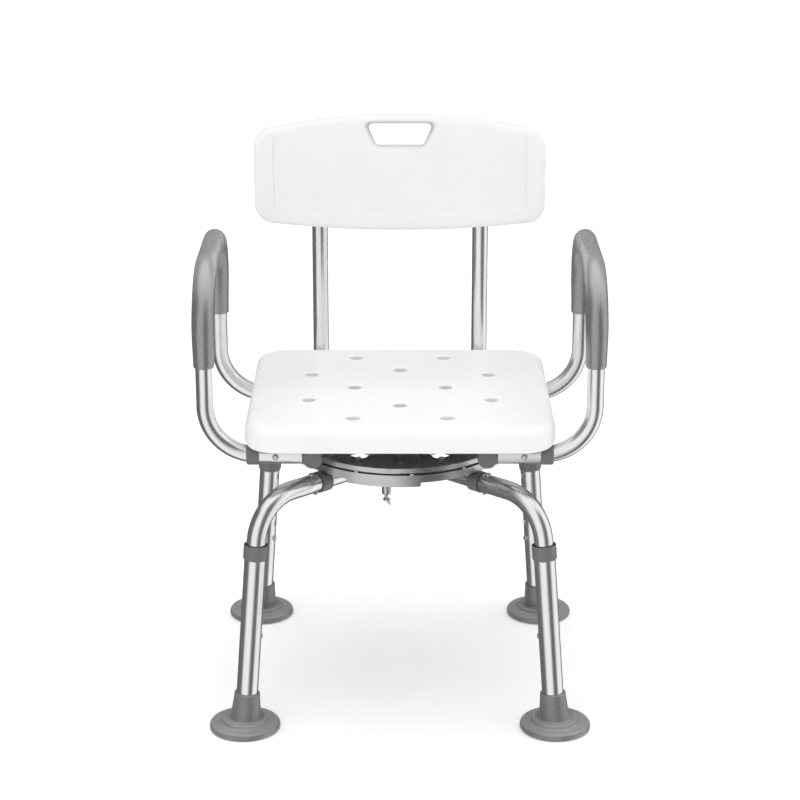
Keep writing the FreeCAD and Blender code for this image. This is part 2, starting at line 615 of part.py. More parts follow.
def back_screw_hole(x):
    return rod(V(x, post_y, back_screw_z), V(x, far, back_screw_z), back_screw_r + slip)


def back_outline():
    """Arched panel seen from the front, as a face in the plane Y = 0."""
    h, top, low = back_half, back_top_z, back_low_z
    corners_at = [V(-h, 0, low + back_low_rise), V(h, 0, low + back_low_rise), V(h, 0, top - back_top_drop),
                  V(-h, 0, top - back_top_drop)]
    edges = [Part.Arc(corners_at[0], V(0, 0, low), corners_at[1]).toShape(),
             Part.makeLine(corners_at[1], corners_at[2]),
             Part.Arc(corners_at[2], V(0, 0, top), corners_at[3]).toShape(),
             Part.makeLine(corners_at[3], corners_at[0])]
    return Part.Face(Part.Wire(edges))


def make_back():
    sweep_r = (back_half ** 2 + back_sag ** 2) / (2 * back_sag)
    centre_y = back_front - sweep_r
    centre, above = V(0, centre_y, 0), V(0, centre_y, 2 * far)
    inner = rod(centre, above, sweep_r)
    blank = back_outline().extrude(V(0, far, 0))
    blank = round_edges(blank, back_corner, lambda edge: abs(edge.Length - far) < 0.01)
    panel = rod(centre, above, sweep_r + back_thick).cut(inner).common(blank)
    slot = Part.Face(Part.makePolygon([V(-slot_low_half, 0, slot_low_z), V(slot_low_half, 0, slot_low_z),
                                       V(slot_high_half, 0, slot_high_z), V(-slot_high_half, 0, slot_high_z),
                                       V(-slot_low_half, 0, slot_low_z)])).extrude(V(0, far, 0))
    slot = round_edges(slot, slot_corner, lambda edge: abs(edge.Length - far) < 0.01)
    panel = panel.makeFillet(back_edge_round, panel.Edges).cut(slot)
    for side in (-1, 1):
        x = side * rail_x
        socket = rod(V(x, post_y, socket_low), V(x, post_y, socket_top), socket_r)
        socket = round_edges(socket, socket_round, lambda edge: is_ring(edge, socket_r))
        panel = panel.fuse(socket).cut(back_screw_hole(x))
        panel = panel.cut(rod(V(x, post_y, 0), V(x, post_y, post_top_z), post_r + slip))
    panel = panel.cut(inner)
    save("back_panel", [panel.removeSplitter()])

    screw = [(0, 0), (back_screw_r, 0), (back_screw_r, 10.1), (4.2, 10.1), (4.2, 11.2), (3.0, 12.4),
             (0, 12.4)]
    return [turned(screw, V(side * rail_x, post_y + 7.1, back_screw_z), V(0, 1, 0)) for side in (-1, 1)]


os.makedirs("parts", exist_ok=True)
for name, leg in legs.items():
    make_leg(name, leg)
save("bent_legs", [make_bent_leg(name, leg) for name, leg in legs.items()])
make_crossed_frame()
make_lower_ring()
make_upper_ring()
make_lock()
make_lever()
for name, side in (("right", -1), ("left", 1)):
    make_arm(name, side)
    make_back_post(name, side)
save("frame_screws", make_turning_frame() + make_seat() + make_back())
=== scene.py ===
import json
import math

import bmesh
import bpy
from mathutils import Matrix, Vector, noise
from mathutils.geometry import delaunay_2d_cdt


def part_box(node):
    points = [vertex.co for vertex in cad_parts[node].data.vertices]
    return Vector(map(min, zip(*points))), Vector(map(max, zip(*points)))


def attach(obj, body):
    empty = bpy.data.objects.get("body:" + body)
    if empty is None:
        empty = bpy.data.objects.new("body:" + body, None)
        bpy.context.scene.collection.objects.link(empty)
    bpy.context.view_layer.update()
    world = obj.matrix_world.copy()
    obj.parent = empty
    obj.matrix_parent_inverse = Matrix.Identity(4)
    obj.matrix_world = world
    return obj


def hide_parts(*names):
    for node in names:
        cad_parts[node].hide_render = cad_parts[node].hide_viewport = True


# Looks of the swivel bath chair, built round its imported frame. Metres throughout.

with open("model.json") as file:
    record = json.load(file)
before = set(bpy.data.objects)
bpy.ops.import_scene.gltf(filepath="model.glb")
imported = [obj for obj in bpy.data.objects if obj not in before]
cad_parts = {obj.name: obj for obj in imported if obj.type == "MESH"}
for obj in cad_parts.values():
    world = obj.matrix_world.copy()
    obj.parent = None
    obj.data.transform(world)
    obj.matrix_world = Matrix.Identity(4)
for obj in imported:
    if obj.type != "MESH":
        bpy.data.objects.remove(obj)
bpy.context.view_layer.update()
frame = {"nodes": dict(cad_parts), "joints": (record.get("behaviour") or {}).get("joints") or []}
nodes = frame["nodes"]
MM = 0.001
WELD = 0.002 * MM
CORNERS = ("front_right", "front_left", "rear_right", "rear_left")
SIDES = ("right", "left")

# tubes: outside radius and bore radius
LEG_OUTER = (14.3 * MM, 12.8 * MM)
LEG_INNER = (12.7 * MM, 11.2 * MM)
FRAME_TUBE = (11.1 * MM, 9.6 * MM)
POST_TAIL = 9.5 * MM

# legs, as heights up the leaning leg and reaches along the horizontal frame tube
TUBE_LOW, TUBE_TOP = 14 * MM, 250 * MM
BUTTON_HEIGHT, HOLE_PITCH, HOLE_COUNT, HOLE_R = 127.6 * MM, 25 * MM, 5, 4.2 * MM
HOLE_FROM, HOLE_TO, HOLE_TURN = 5 * MM, 20 * MM, math.radians(30)
CROSS_START = 20 * MM
BENT_LOW, BENT_START, BENT_RADIUS = 108 * MM, 150.5 * MM, 62 * MM
FRAME_BUTTON_REACH = 160 * MM

# arms and back posts
ARM_BENDS = (66 * MM, 90 * MM, 50 * MM, 66 * MM)
ARM_INSET = 148 * MM
GRIP_R, GRIP_END_R = 15 * MM, 13.7 * MM
POST_BEND = 33 * MM

# seat
SEAT_CORNER, SEAT_MIDDLE = 45 * MM, 7 * MM
DRAINS = ((62 * MM, 135 * MM), (62 * MM, 0.0), (0.0, 79.2 * MM), (122.4 * MM, 56.4 * MM))

# back (all the white plastic above BACK_FROM is the back's)
BACK_FROM = 550 * MM
BACK_CORNER, BACK_SAG = 28 * MM, 17 * MM
BACK_TOP_DROP, BACK_LOW_RISE = 21 * MM, 17 * MM
SLOT_LOW_Z, SLOT_HIGH_Z, SLOT_LOW_HALF, SLOT_HIGH_HALF = 710.5 * MM, 741.5 * MM, 33 * MM, 47 * MM
SLOT_CORNER = 6 * MM
FIELD_HALF, FIELD_MARGIN, FIELD_DEPTH, FIELD_STEP = 178 * MM, 21 * MM, 1.9 * MM, 1.0 * MM
FIELD_FADE_LOW, FIELD_FADE_HIGH = 640 * MM, 727 * MM
SOCKET_R, SOCKET_LOW, SOCKET_TOP = 14.6 * MM, 604 * MM, 728 * MM


# ---------------------------------------------------------------- shader helpers

class Shader:
    """A principled material whose node tree is put together by short calls."""

    def __init__(self, name, **values):
        self.material = bpy.data.materials.new(name)
        self.material.use_nodes = True
        self.tree = self.material.node_tree
        self.surface = self.tree.nodes["Principled BSDF"]
        for key, value in values.items():
            self.surface.inputs[key.replace("_", " ")].default_value = value
        self.place = self.node("ShaderNodeTexCoord").outputs["Object"]
        self.normal = None

    def node(self, kind, inputs=None, **settings):
        made = self.tree.nodes.new(kind)
        for key, value in settings.items():
            setattr(made, key, value)
        for key, value in (inputs or {}).items():
            if isinstance(value, bpy.types.NodeSocket):
                self.tree.links.new(value, made.inputs[key])
            else:
                made.inputs[key].default_value = value
        return made

    def set(self, key, socket):
        self.tree.links.new(socket, self.surface.inputs[key])

    def maths(self, operation, first, second=0.0, clamp=False):
        return self.node("ShaderNodeMath", {0: first, 1: second}, operation=operation,
                         use_clamp=clamp).outputs[0]

    def vector(self, operation, first, second=(0, 0, 0), out=0):
        return self.node("ShaderNodeVectorMath", {0: first, 1: second}, operation=operation).outputs[out]

    def noise(self, place, scale, detail=4.0, roughness=0.55):
        return self.node("ShaderNodeTexNoise", {"Vector": place, "Scale": scale, "Detail": detail,
                                                "Roughness": roughness}).outputs[0]

    def cells(self, place, scale, feature="F1"):
        return self.node("ShaderNodeTexVoronoi", {"Vector": place, "Scale": scale},
                         feature=feature).outputs["Distance"]

    def spread(self, value, low, high, to_low=0.0, to_high=1.0):
        """Smooth step of a value from one range to another."""
        return self.node("ShaderNodeMapRange", {"Value": value, "From Min": low, "From Max": high,
                                                "To Min": to_low, "To Max": to_high},
                         interpolation_type="SMOOTHSTEP").outputs[0]

    def blend(self, share, first, second):
        return self.node("ShaderNodeMix", {0: share, 6: first, 7: second}, data_type="RGBA").outputs[2]

    def bump(self, height, strength, distance):
        inputs = {"Height": height, "Strength": strength, "Distance": distance}
        if self.normal is not None:
            inputs["Normal"] = self.normal
        self.normal = self.node("ShaderNodeBump", inputs).outputs[0]
        self.set("Normal", self.normal)

    def edges(self, radius):
        """How far the rounded normal leaves the true one: bright along edges."""
        soft = self.node("ShaderNodeBevel", {"Radius": radius}, samples=3).outputs[0]
        true = self.node("ShaderNodeNewGeometry").outputs["Normal"]
        return self.maths("SUBTRACT", 1.0, self.vector("DOT_PRODUCT", soft, true, 1))

    def open_sky(self, reach):
        """One in the open, falling towards nothing in gaps and corners: the mask for painted shade there."""
        return self.node("ShaderNodeAmbientOcclusion", {"Distance": reach}, samples=3).outputs["AO"]

    def height(self, low, high):
        """From nothing at one height above the floor to one at another."""
        return self.spread(self.node("ShaderNodeSeparateXYZ", {0: self.place}).outputs[2], low, high)

    def level(self, low, high):
        """One where a surface faces straight up or down."""
        normal = self.node("ShaderNodeNewGeometry").outputs["Normal"]
        upright = self.node("ShaderNodeSeparateXYZ", {0: normal}).outputs[2]
        return self.spread(self.maths("ABSOLUTE", upright), low, high)

    def round_tube(self, radius):
        """A place on a tube from its UV map: round it, and slowly along it."""
        uv = self.node("ShaderNodeUVMap").outputs[0]
        parts = self.node("ShaderNodeSeparateXYZ", {0: uv})
        turn = self.maths("MULTIPLY", parts.outputs[0], math.tau)
        return self.node("ShaderNodeCombineXYZ", {
            0: self.maths("MULTIPLY", self.maths("COSINE", turn), radius),
            1: self.maths("MULTIPLY", self.maths("SINE", turn), radius),
            2: parts.outputs[1]}).outputs[0]

    def squeezed(self, place, axis, share):
        """A place whose part along an axis is shortened, so that a texture runs along it."""
        along = self.vector("DOT_PRODUCT", place, axis, 1)
        less = self.maths("MULTIPLY", along, 1 - share)
        back = self.node("ShaderNodeVectorMath", {0: axis, 3: less}, operation="SCALE").outputs[0]
        return self.vector("SUBTRACT", place, back)


def grey(value):
    return (value, value, value, 1.0)


def aluminium(name, axis=None, radius=FRAME_TUBE[0]):
    """Satin anodised tube: drawing lines along it, fine scratches, and hand marks in its gloss."""
    s = Shader(name, Metallic=1.0, Roughness=0.24)
    if axis is None:
        place = s.round_tube(radius)
        axis = (0, 0, 1)
    else:
        place = s.place
    lines = s.noise(s.squeezed(place, axis, 0.012), 2600.0, 3.0)
    streaks = s.noise(s.squeezed(place, axis, 0.02), 420.0, 4.0)
    marks = s.noise(place, 38.0, 5.0, 0.6)
    scratches = s.spread(s.noise(s.squeezed(place, axis, 0.15), 900.0, 2.0, 0.4), 0.66, 0.72)
    s.set("Base Color", s.blend(s.spread(streaks, 0.3, 0.7), grey(0.76), grey(0.83)))
    rough = s.maths("ADD", s.spread(lines, 0.25, 0.75, 0.2, 0.25), s.spread(marks, 0.5, 0.75, 0.0, 0.05))
    s.set("Roughness", s.maths("ADD", rough, s.maths("MULTIPLY", scratches, 0.07)))
    s.bump(lines, 0.045, 0.00004)
    s.bump(scratches, 0.05, 0.00002)
    return s.material


def turned_metal(name, base, rough):
    """Metal with lines that run round the swivel axis, and a little wear on its edges."""
    s = Shader(name, Metallic=1.0, Roughness=rough)
    parts = s.node("ShaderNodeSeparateXYZ", {0: s.place})
    flat = s.node("ShaderNodeCombineXYZ", {0: parts.outputs[0], 1: parts.outputs[1]}).outputs[0]
    reach = s.vector("LENGTH", flat, out=1)
    turn = s.maths("ARCTAN2", parts.outputs[1], parts.outputs[0])
    place = s.node("ShaderNodeCombineXYZ", {0: reach, 1: s.maths("MULTIPLY", turn, 0.004),
                                            2: parts.outputs[2]}).outputs[0]
    lines = s.noise(place, 1900.0, 4.0)
    stains = s.noise(s.place, 55.0, 6.0, 0.62)
    s.set("Base Color", s.blend(s.spread(stains, 0.4, 0.75), grey(base), grey(base * 0.82)))
    worn = s.spread(s.edges(0.0007), 0.02, 0.16)
    rougher = s.maths("ADD", s.spread(lines, 0.25, 0.75, rough - 0.06, rough + 0.08),
                      s.spread(stains, 0.5, 0.8, 0.0, 0.1))
    s.set("Roughness", s.maths("SUBTRACT", rougher, s.maths("MULTIPLY", worn, 0.1)))
    s.bump(lines, 0.22, 0.00008)
    return s.material


def plain_metal(name, base, rough):
    """Plated steel: mottled gloss, fine pits and brighter worn edges."""
    s = Shader(name, Metallic=1.0, Roughness=rough)
    mottle = s.noise(s.place, 260.0, 5.0)
    pits = s.cells(s.place, 1500.0)
    worn = s.spread(s.edges(0.0005), 0.02, 0.16)
    dull = s.blend(s.spread(mottle, 0.35, 0.7), grey(base), grey(base * 0.8))
    s.set("Base Color", s.blend(worn, dull, grey(min(base * 1.15, 0.95))))
    s.set("Roughness", s.spread(mottle, 0.3, 0.75, rough - 0.05, rough + 0.12))
    s.bump(pits, 0.06, 0.00005)
    return s.material


def painted_steel(name, base):
    """Powder coat: orange peel, blotches of dust, and edges rubbed lighter."""
    s = Shader(name, Roughness=0.3, Specular_IOR_Level=0.8, Metallic=0.35)
    peel = s.noise(s.place, 900.0, 2.0, 0.5)
    dust = s.noise(s.place, 30.0, 6.0, 0.6)
    broken = s.spread(s.noise(s.place, 400.0), 0.4, 0.6)
    worn = s.maths("MULTIPLY", s.spread(s.edges(0.0008), 0.04, 0.2), broken)
    colour = s.blend(s.spread(dust, 0.45, 0.8), grey(base), grey(base * 1.35))
    s.set("Base Color", s.blend(worn, colour, grey(0.34)))
    s.set("Roughness", s.spread(dust, 0.35, 0.75, 0.22, 0.4))
    s.bump(peel, 0.16, 0.0002)
    return s.material


def moulded(name, base, rough, grain, scuff=0.12, gloss=0.5, painted_top_light=None):
    """Moulded grey plastic: grain, scuffs, worn edges, painted light on the top between two heights, and
    painted shade in gaps and corners.
    """
    s = Shader(name, Roughness=rough, Specular_IOR_Level=gloss)
    fine = s.noise(s.place, grain, 3.0, 0.6)
    patches = s.noise(s.place, 45.0, 5.0, 0.6)
    scuffs = s.spread(s.noise(s.squeezed(s.place, (0.35, 0.2, 0.92), 0.1), 700.0, 3.0), 0.6, 0.72)
    worn = s.spread(s.edges(0.0009), 0.03, 0.22)
    tone = s.blend(s.spread(patches, 0.3, 0.75), grey(base), grey(base * 1.08))
    tone = s.blend(s.maths("MULTIPLY", scuffs, scuff), tone, grey(base * 1.9))
    tone = s.blend(s.maths("MULTIPLY", worn, 0.35), tone, grey(base * 1.7))
    if painted_top_light:
        # painted light: between the two heights the top is drawn lighter, standing in for light falling on it
        tone = s.blend(s.height(*painted_top_light), tone, grey(base * 2.7))
    # painted shade: gaps and corners are drawn darker where the occlusion finds them closed in
    s.set("Base Color", s.blend(s.spread(s.open_sky(0.008), 0.25, 0.8, 0.7, 0.0), tone, grey(base * 0.35)))
    s.set("Roughness", s.maths("ADD", s.spread(patches, 0.3, 0.8, rough - 0.03, rough + 0.05),
                               s.maths("MULTIPLY", scuffs, 0.08)))
    s.bump(fine, 0.25, 0.00012)
    return s.material


def rubber(name, base):
    """Foot rubber: satin, with painted light on level faces, dust near the floor and a faint moulding grain.
    """
    s = Shader(name, Roughness=0.33, Specular_IOR_Level=0.9)
    s.surface.inputs["Sheen Weight"].default_value = 0.12
    s.surface.inputs["Sheen Roughness"].default_value = 0.5
    grain = s.noise(s.place, 1300.0, 3.0, 0.6)
    blotches = s.noise(s.place, 60.0, 6.0, 0.62)
    height = s.node("ShaderNodeSeparateXYZ", {0: s.place}).outputs[2]
    low = s.spread(height, 0.0, 0.014, 1.0, 0.0)
    dust = s.maths("MULTIPLY", low, s.spread(blotches, 0.35, 0.7))
    tone = s.blend(s.spread(blotches, 0.3, 0.75), grey(base), grey(base * 1.1))
    # painted light: level faces, such as the top of the flare, are drawn lighter, standing in for a highlight
    tone = s.blend(s.level(0.5, 0.95), tone, grey(base * 1.8))
    s.set("Base Color", s.blend(s.maths("MULTIPLY", dust, 0.25), tone, grey(0.42)))
    s.set("Roughness", s.spread(blotches, 0.3, 0.8, 0.27, 0.35))
    s.bump(grain, 0.22, 0.00014)
    return s.material


def painted_slot_shade(s):
    """Painted shade in the handle slot: strongest on the slot's walls, fading within 5.5 mm round it, and
    weaker towards its lower edge.
    """
    x, _, z = s.node("ShaderNodeSeparateXYZ", {0: s.place}).outputs
    slope = (SLOT_HIGH_HALF - SLOT_LOW_HALF) / (SLOT_HIGH_Z - SLOT_LOW_Z)
    half = s.maths("ADD", s.maths("MULTIPLY", s.maths("SUBTRACT", z, SLOT_LOW_Z), slope), SLOT_LOW_HALF)
    beside = s.maths("MULTIPLY", s.maths("SUBTRACT", s.maths("ABSOLUTE", x), half), 1 / math.hypot(1, slope))
    above = s.maths("MAXIMUM", s.maths("SUBTRACT", z, SLOT_HIGH_Z), s.maths("SUBTRACT", SLOT_LOW_Z, z))
    past = [s.maths("MAXIMUM", s.maths("ADD", way, SLOT_CORNER), 0.0) for way in (beside, above)]
    corner = s.node("ShaderNodeCombineXYZ", {0: past[0], 1: past[1]}).outputs[0]
    away = s.maths("SUBTRACT", s.vector("LENGTH", corner, out=1), SLOT_CORNER)
    strength = s.spread(z, SLOT_LOW_Z - 5 * MM, SLOT_HIGH_Z, 0.45, 1.0)
    return s.maths("MULTIPLY", s.spread(away, 0.5 * MM, 5.5 * MM, 1.0, 0.0), strength)


def white_plastic(name, base, warmth):
    """Blow-moulded white polyethylene: fine skin, scuffs and haze, with painted shade on the back's level
    rim, in its slot, and in gaps and corners.
    """
    s = Shader(name, Roughness=0.42, Specular_IOR_Level=0.4, IOR=1.52)
    s.surface.inputs["Subsurface Weight"].default_value = 0.12
    s.surface.inputs["Subsurface Radius"].default_value = (1.0, 1.0, 0.95)
    s.surface.inputs["Subsurface Scale"].default_value = 0.004
    skin = s.cells(s.place, 900.0)
    waves = s.noise(s.place, 24.0, 3.0, 0.5)
    haze = s.noise(s.place, 13.0, 6.0, 0.62)
    scuffs = s.spread(s.noise(s.squeezed(s.place, (0.8, 0.6, 0.0), 0.06), 520.0, 3.0), 0.63, 0.7)
    dry = s.spread(s.cells(s.place, 70.0, "DISTANCE_TO_EDGE"), 0.0, 0.05, 1.0, 0.0)
    clean = (base, base * (1 - warmth * 0.2), base * (1 - warmth), 1.0)
    dull = (base * 0.965, base * 0.962, base * (0.955 - warmth), 1.0)
    tone = s.blend(s.spread(haze, 0.45, 0.8), clean, dull)
    tone = s.blend(s.maths("MULTIPLY", scuffs, 0.1), tone, grey(base * 0.86))
    # painted shade: the back's level faces, its top and bottom edges, are drawn darker, standing in for how
    # light falls there
    rim = s.maths("MULTIPLY", s.level(0.3, 0.9), s.height(BACK_FROM, BACK_FROM + 20 * MM))
    tone = s.blend(rim, tone, grey(base * 0.86))
    # painted shade: the handle slot's walls and lips are drawn darker, standing in for the shade inside it
    tone = s.blend(s.maths("MULTIPLY", painted_slot_shade(s), 0.85), tone, grey(base * 0.5))
    # painted shade: gaps and corners are drawn darker where the occlusion finds them closed in
    s.set("Base Color", s.blend(s.spread(s.open_sky(0.010), 0.25, 0.8, 0.75, 0.0), tone, grey(base * 0.42)))
    rough = s.maths("ADD", s.spread(haze, 0.35, 0.75, 0.36, 0.5), s.maths("MULTIPLY", dry, 0.03))
    s.set("Roughness", s.maths("ADD", rough, s.maths("MULTIPLY", scuffs, 0.1)))
    s.bump(waves, 0.10, 0.0006)
    s.bump(skin, 0.12, 0.00016)
    return s.material


def nylon(name):
    s = Shader(name, Roughness=0.45)
    cloud = s.noise(s.place, 120.0, 4.0)
    s.set("Base Color", s.blend(s.spread(cloud, 0.3, 0.7), (0.72, 0.71, 0.66, 1), (0.6, 0.59, 0.54, 1)))
    s.set("Roughness", s.spread(cloud, 0.3, 0.7, 0.38, 0.55))
    s.bump(s.noise(s.place, 1200.0), 0.15, 0.0001)
    return s.material


# ---------------------------------------------------------------- mesh helpers

def piece(name, vertices, faces, material, body, replaces=(), slot=None, uvs=None):
    """A closed mesh that rides on a body, stands for CAD nodes, and takes the finish it is given; its slot
    argument is not used.
    """
    mesh = bpy.data.meshes.new(name)
    mesh.from_pydata([tuple(v) for v in vertices], [], faces)
    if uvs is not None:
        layer = mesh.uv_layers.new(name="UVMap")
        for loop, uv in zip(layer.data, uvs):
            loop.uv = uv
    mesh.materials.append(material)
    made = bpy.data.objects.new(name, mesh)
    bpy.context.scene.collection.objects.link(made)
    tidy_normals(mesh)
    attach(made, body)
    if replaces:
        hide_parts(*replaces)
    return made


def tidy_normals(mesh, sharp=40):
    """Welds what meets, turns every face outwards, and smooths all but the sharp edges."""
    shape = bmesh.new()
    shape.from_mesh(mesh)
    bmesh.ops.remove_doubles(shape, verts=shape.verts, dist=WELD)
    bmesh.ops.recalc_face_normals(shape, faces=shape.faces)
    shape.to_mesh(mesh)
    shape.free()
    mesh.shade_smooth()
    mesh.set_sharp_from_angle(angle=math.radians(sharp))


def frame_round(axis):
    """Two unit vectors square to an axis and to each other."""
    axis = axis.normalized()
    across = axis.cross(Vector((0, 0, 1)) if abs(axis.z) < 0.9 else Vector((0, 1, 0))).normalized()
    return across, axis.cross(across)


def circle(centre, axis, radius, around):
    across, up = frame_round(axis)
    turns = [math.tau * i / around for i in range(around)]
    return [centre + (across * math.cos(turn) + up * math.sin(turn)) * radius for turn in turns]


def neighbours(rings, closed):
    """Indexes of each ring and the next; closed joins the last ring to the first."""
    return list(zip(range(len(rings)), range(1, len(rings)))) + ([(len(rings) - 1, 0)] if closed else [])


def loft(rings, closed=True, first=0):
    """Faces between rings of equal count."""
    count = len(rings[0])
    vertices = [point for ring in rings for point in ring]
    pairs = neighbours(rings, closed)
    faces = [(first + a * count + i, first + a * count + (i + 1) % count, first + b * count + (i + 1) % count,
              first + b * count + i) for a, b in pairs for i in range(count)]
    return vertices, faces


def loft_uvs(rings, along, closed=True):
    """Turn round and distance along, for each corner of loft's faces."""
    count = len(rings[0])
    return [(step / count, along[ring]) for a, b in neighbours(rings, closed) for i in range(count)
            for step, ring in ((i, a), (i + 1, a), (i + 1, b), (i, b))]


def rounded_path(points, radii, step=math.radians(3), run=0.02):
    """Places and directions along straight runs joined by tangent arcs."""
    placed, start = [], points[0]
    for before, corner, after, radius in zip(points, points[1:], points[2:], radii):
        into, out = (corner - before).normalized(), (after - corner).normalized()
        turn = into.angle(out)
        back_off = radius * math.tan(turn / 2)
        axis = into.cross(out).normalized()
        arc_in = corner - into * back_off
        centre = arc_in + axis.cross(into) * radius
        placed += straight(start, arc_in, into, run)
        steps = max(2, round(turn / step))
        for i in range(1, steps):
            turned = Matrix.Rotation(turn * i / steps, 3, axis)
            placed.append((centre + turned @ (arc_in - centre), turned @ into))
        start = corner + out * back_off
    placed += straight(start, points[-1], (points[-1] - start).normalized(), run)
    return placed


def straight(start, end, direction, run):
    steps = max(1, round((end - start).length / run))
    return [(start.lerp(end, i / steps), direction) for i in range(steps + 1)]


def swept_pipe(name, path, outer, bore, material, body, replaces, slot, lip=0.5 * MM, around=56):
    """A tube along a path, with its open ends softly broken; outer may vary with the distance run."""
    reach, sides = [0.0], [frame_round(path[0][1])[0]]
    for (a, a_way), (b, b_way) in zip(path, path[1:]):
        reach.append(reach[-1] + (b - a).length)
        sides.append(a_way.rotation_difference(b_way) @ sides[-1])
    radius_at = outer if callable(outer) else lambda run: outer
    rings, along = [], []

    def add(index, radius, shift=0.0):
        place, direction = path[index]
        side = sides[index]
        up = direction.cross(side).normalized()
        turns = [math.tau * i / around for i in range(around)]
        rings.append([place + direction * shift + (side * math.cos(t) + up * math.sin(t)) * radius
                      for t in turns])
        along.append(reach[index] + shift)

    ends = ((0, 1), (len(path) - 1, -1))
    add(0, radius_at(0) - lip)
    add(0, radius_at(0) - 0.3 * lip, 0.3 * lip)
    add(0, radius_at(lip), lip)
    for index in range(1, len(path) - 1):
        add(index, radius_at(reach[index]))
    last, sign = ends[1]
    add(last, radius_at(reach[-1]), sign * lip)
    add(last, radius_at(reach[-1]) - 0.3 * lip, sign * 0.3 * lip)
    add(last, radius_at(reach[-1]) - lip)
    add(last, bore + 0.3 * lip)
    add(last, bore, sign * 0.3 * lip)
    for index in range(len(path) - 2, 0, -1):
        add(index, bore)
    add(0, bore, 0.3 * lip)
    add(0, bore + 0.3 * lip)
    vertices, faces = loft(rings)
    return piece(name, vertices, faces, material, body, replaces, slot, loft_uvs(rings, along))


def drill(made, holes, radius, around=28):
    """Cuts round holes, given as (start, end), through a piece."""
    vertices, faces = [], []
    for start, end in holes:
        rings = [circle(start, end - start, radius, around), circle(end, end - start, radius, around)]
        more, walls = loft(rings, closed=False, first=len(vertices))
        faces += walls + [tuple(range(len(vertices), len(vertices) + around))[::-1],
                          tuple(range(len(vertices) + around, len(vertices) + 2 * around))]
        vertices += more
    combine(made, vertices, faces, "DIFFERENCE")


def combine(made, vertices, faces, operation):
    """Joins or cuts a piece with a closed tool mesh, and keeps only the result."""
    mesh = bpy.data.meshes.new("tool")
    mesh.from_pydata([tuple(v) for v in vertices], [], faces)
    tool = bpy.data.objects.new("tool", mesh)
    bpy.context.scene.collection.objects.link(tool)
    tidy_normals(mesh)
    change = made.modifiers.new("combine", "BOOLEAN")
    change.operation, change.object, change.solver = operation, tool, "EXACT"
    bpy.context.view_layer.update()
    result = bpy.data.meshes.new_from_object(made.evaluated_get(bpy.context.evaluated_depsgraph_get()))
    made.modifiers.clear()
    made.data = result
    bpy.data.objects.remove(tool)
    tidy_normals(result)


def turned_piece(name, profile, base, axis, material, body, replaces, slot, around=72):
    """A closed ring turned about an axis, from (radius, height) points of its section."""
    axis = axis.normalized()
    rings = [circle(base + axis * height, axis, radius, around) for radius, height in profile]
    vertices, faces = loft(rings)
    return piece(name, vertices, faces, material, body, replaces, slot)


def soft_profile(points, radii, steps=5):
    """A closed section with its corners rounded: one radius for each point, 0 for a sharp one."""
    made = []
    count = len(points)
    for i, (corner, radius) in enumerate(zip(points, radii)):
        corner, before, after = Vector(corner), Vector(points[i - 1]), Vector(points[(i + 1) % count])
        if radius == 0:
            made.append(tuple(corner))
            continue
        into, out = (before - corner).normalized(), (after - corner).normalized()
        half = into.angle(out) / 2
        reach = min(radius / math.tan(half), 0.48 * (before - corner).length, 0.48 * (after - corner).length)
        first, last = corner + into * reach, corner + out * reach
        for k in range(steps + 1):
            t = k / steps
            made.append(tuple(first * (1 - t) ** 2 + corner * 2 * t * (1 - t) + last * t ** 2))
    return made


def smooth(low, high, value):
    t = min(max((value - low) / (high - low), 0.0), 1.0)
    return t * t * (3 - 2 * t)


def inside(point, loop):
    x, y = point
    odd = False
    for (ax, ay), (bx, by) in zip(loop, loop[1:] + loop[:1]):
        if (ay > y) != (by > y) and x < (bx - ax) * (y - ay) / (by - ay) + ax:
            odd = not odd
    return odd


def filled(outer, holes, folds, pitch):
    """Flat triangles inside an outline and outside its holes, with fold lines kept and an even lattice."""
    points, edges = [], []
    for loop in [outer, *holes, *folds]:
        first = len(points)
        points += [Vector(p) for p in loop]
        edges += [(first + i, first + (i + 1) % len(loop)) for i in range(len(loop))]
    fixed = list(points)
    low_x, high_x = min(p.x for p in fixed), max(p.x for p in fixed)
    low_y, high_y = min(p.y for p in fixed), max(p.y for p in fixed)
    cell = pitch * 0.55
    taken = {(round(p.x / cell), round(p.y / cell)) for p in fixed}
    columns, rows = round((high_x - low_x) / pitch), round((high_y - low_y) / (pitch * 0.866))
    for row in range(1, rows):
        for column in range(1, columns):
            p = Vector((low_x + pitch * (column + 0.5 * (row % 2)), low_y + pitch * 0.866 * row))
            key = (round(p.x / cell), round(p.y / cell))
            if key not in taken and inside(p, outer):
                points.append(p)
    found, _, triangles, *_ = delaunay_2d_cdt(points, edges, [], 0, 1e-7)
    kept = []
    for a, b, c in triangles:
        middle = (found[a] + found[b] + found[c]) / 3
        if inside(middle, outer) and not any(inside(middle, hole) for hole in holes):
            kept.append((a, b, c))
    return found, kept


# ---------------------------------------------------------------- materials

tube_uv = aluminium("tube_satin")
tube_x = aluminium("tube_satin_x", (1, 0, 0))
tube_y = aluminium("tube_satin_y", (0, 1, 0))
finishes = {
    "tube_aluminium": tube_y,
    "ring_metal": turned_metal("ring_brushed", 0.56, 0.3),
    "dark_paint": painted_steel("dark_powder_coat", 0.15),
    "steel": plain_metal("zinc_plate", 0.55, 0.28),
    "spring_steel": plain_metal("spring_steel", 0.62, 0.22),
    "grey_plastic": moulded("grey_moulding", 0.142, 0.42, 1500.0),
    # the last value is the height band of the painted light on the grip's top
    "grip": moulded("grip_skin", 0.115, 0.28, 1100.0, 0.05, 2.6, (560 * MM, 612 * MM)),
    "white_plastic": white_plastic("white_polyethylene", 0.89, 0.005),
    "foot_rubber": rubber("foot_rubber", 0.15),
    "nylon": nylon("nylon"),
}
for node in nodes.values():
    for slot in node.material_slots:
        slot.material = finishes[slot.material.name.split(".")[0]]
nodes["arm_stubs"].material_slots[0].material = tube_x


# ---------------------------------------------------------------- legs and frame

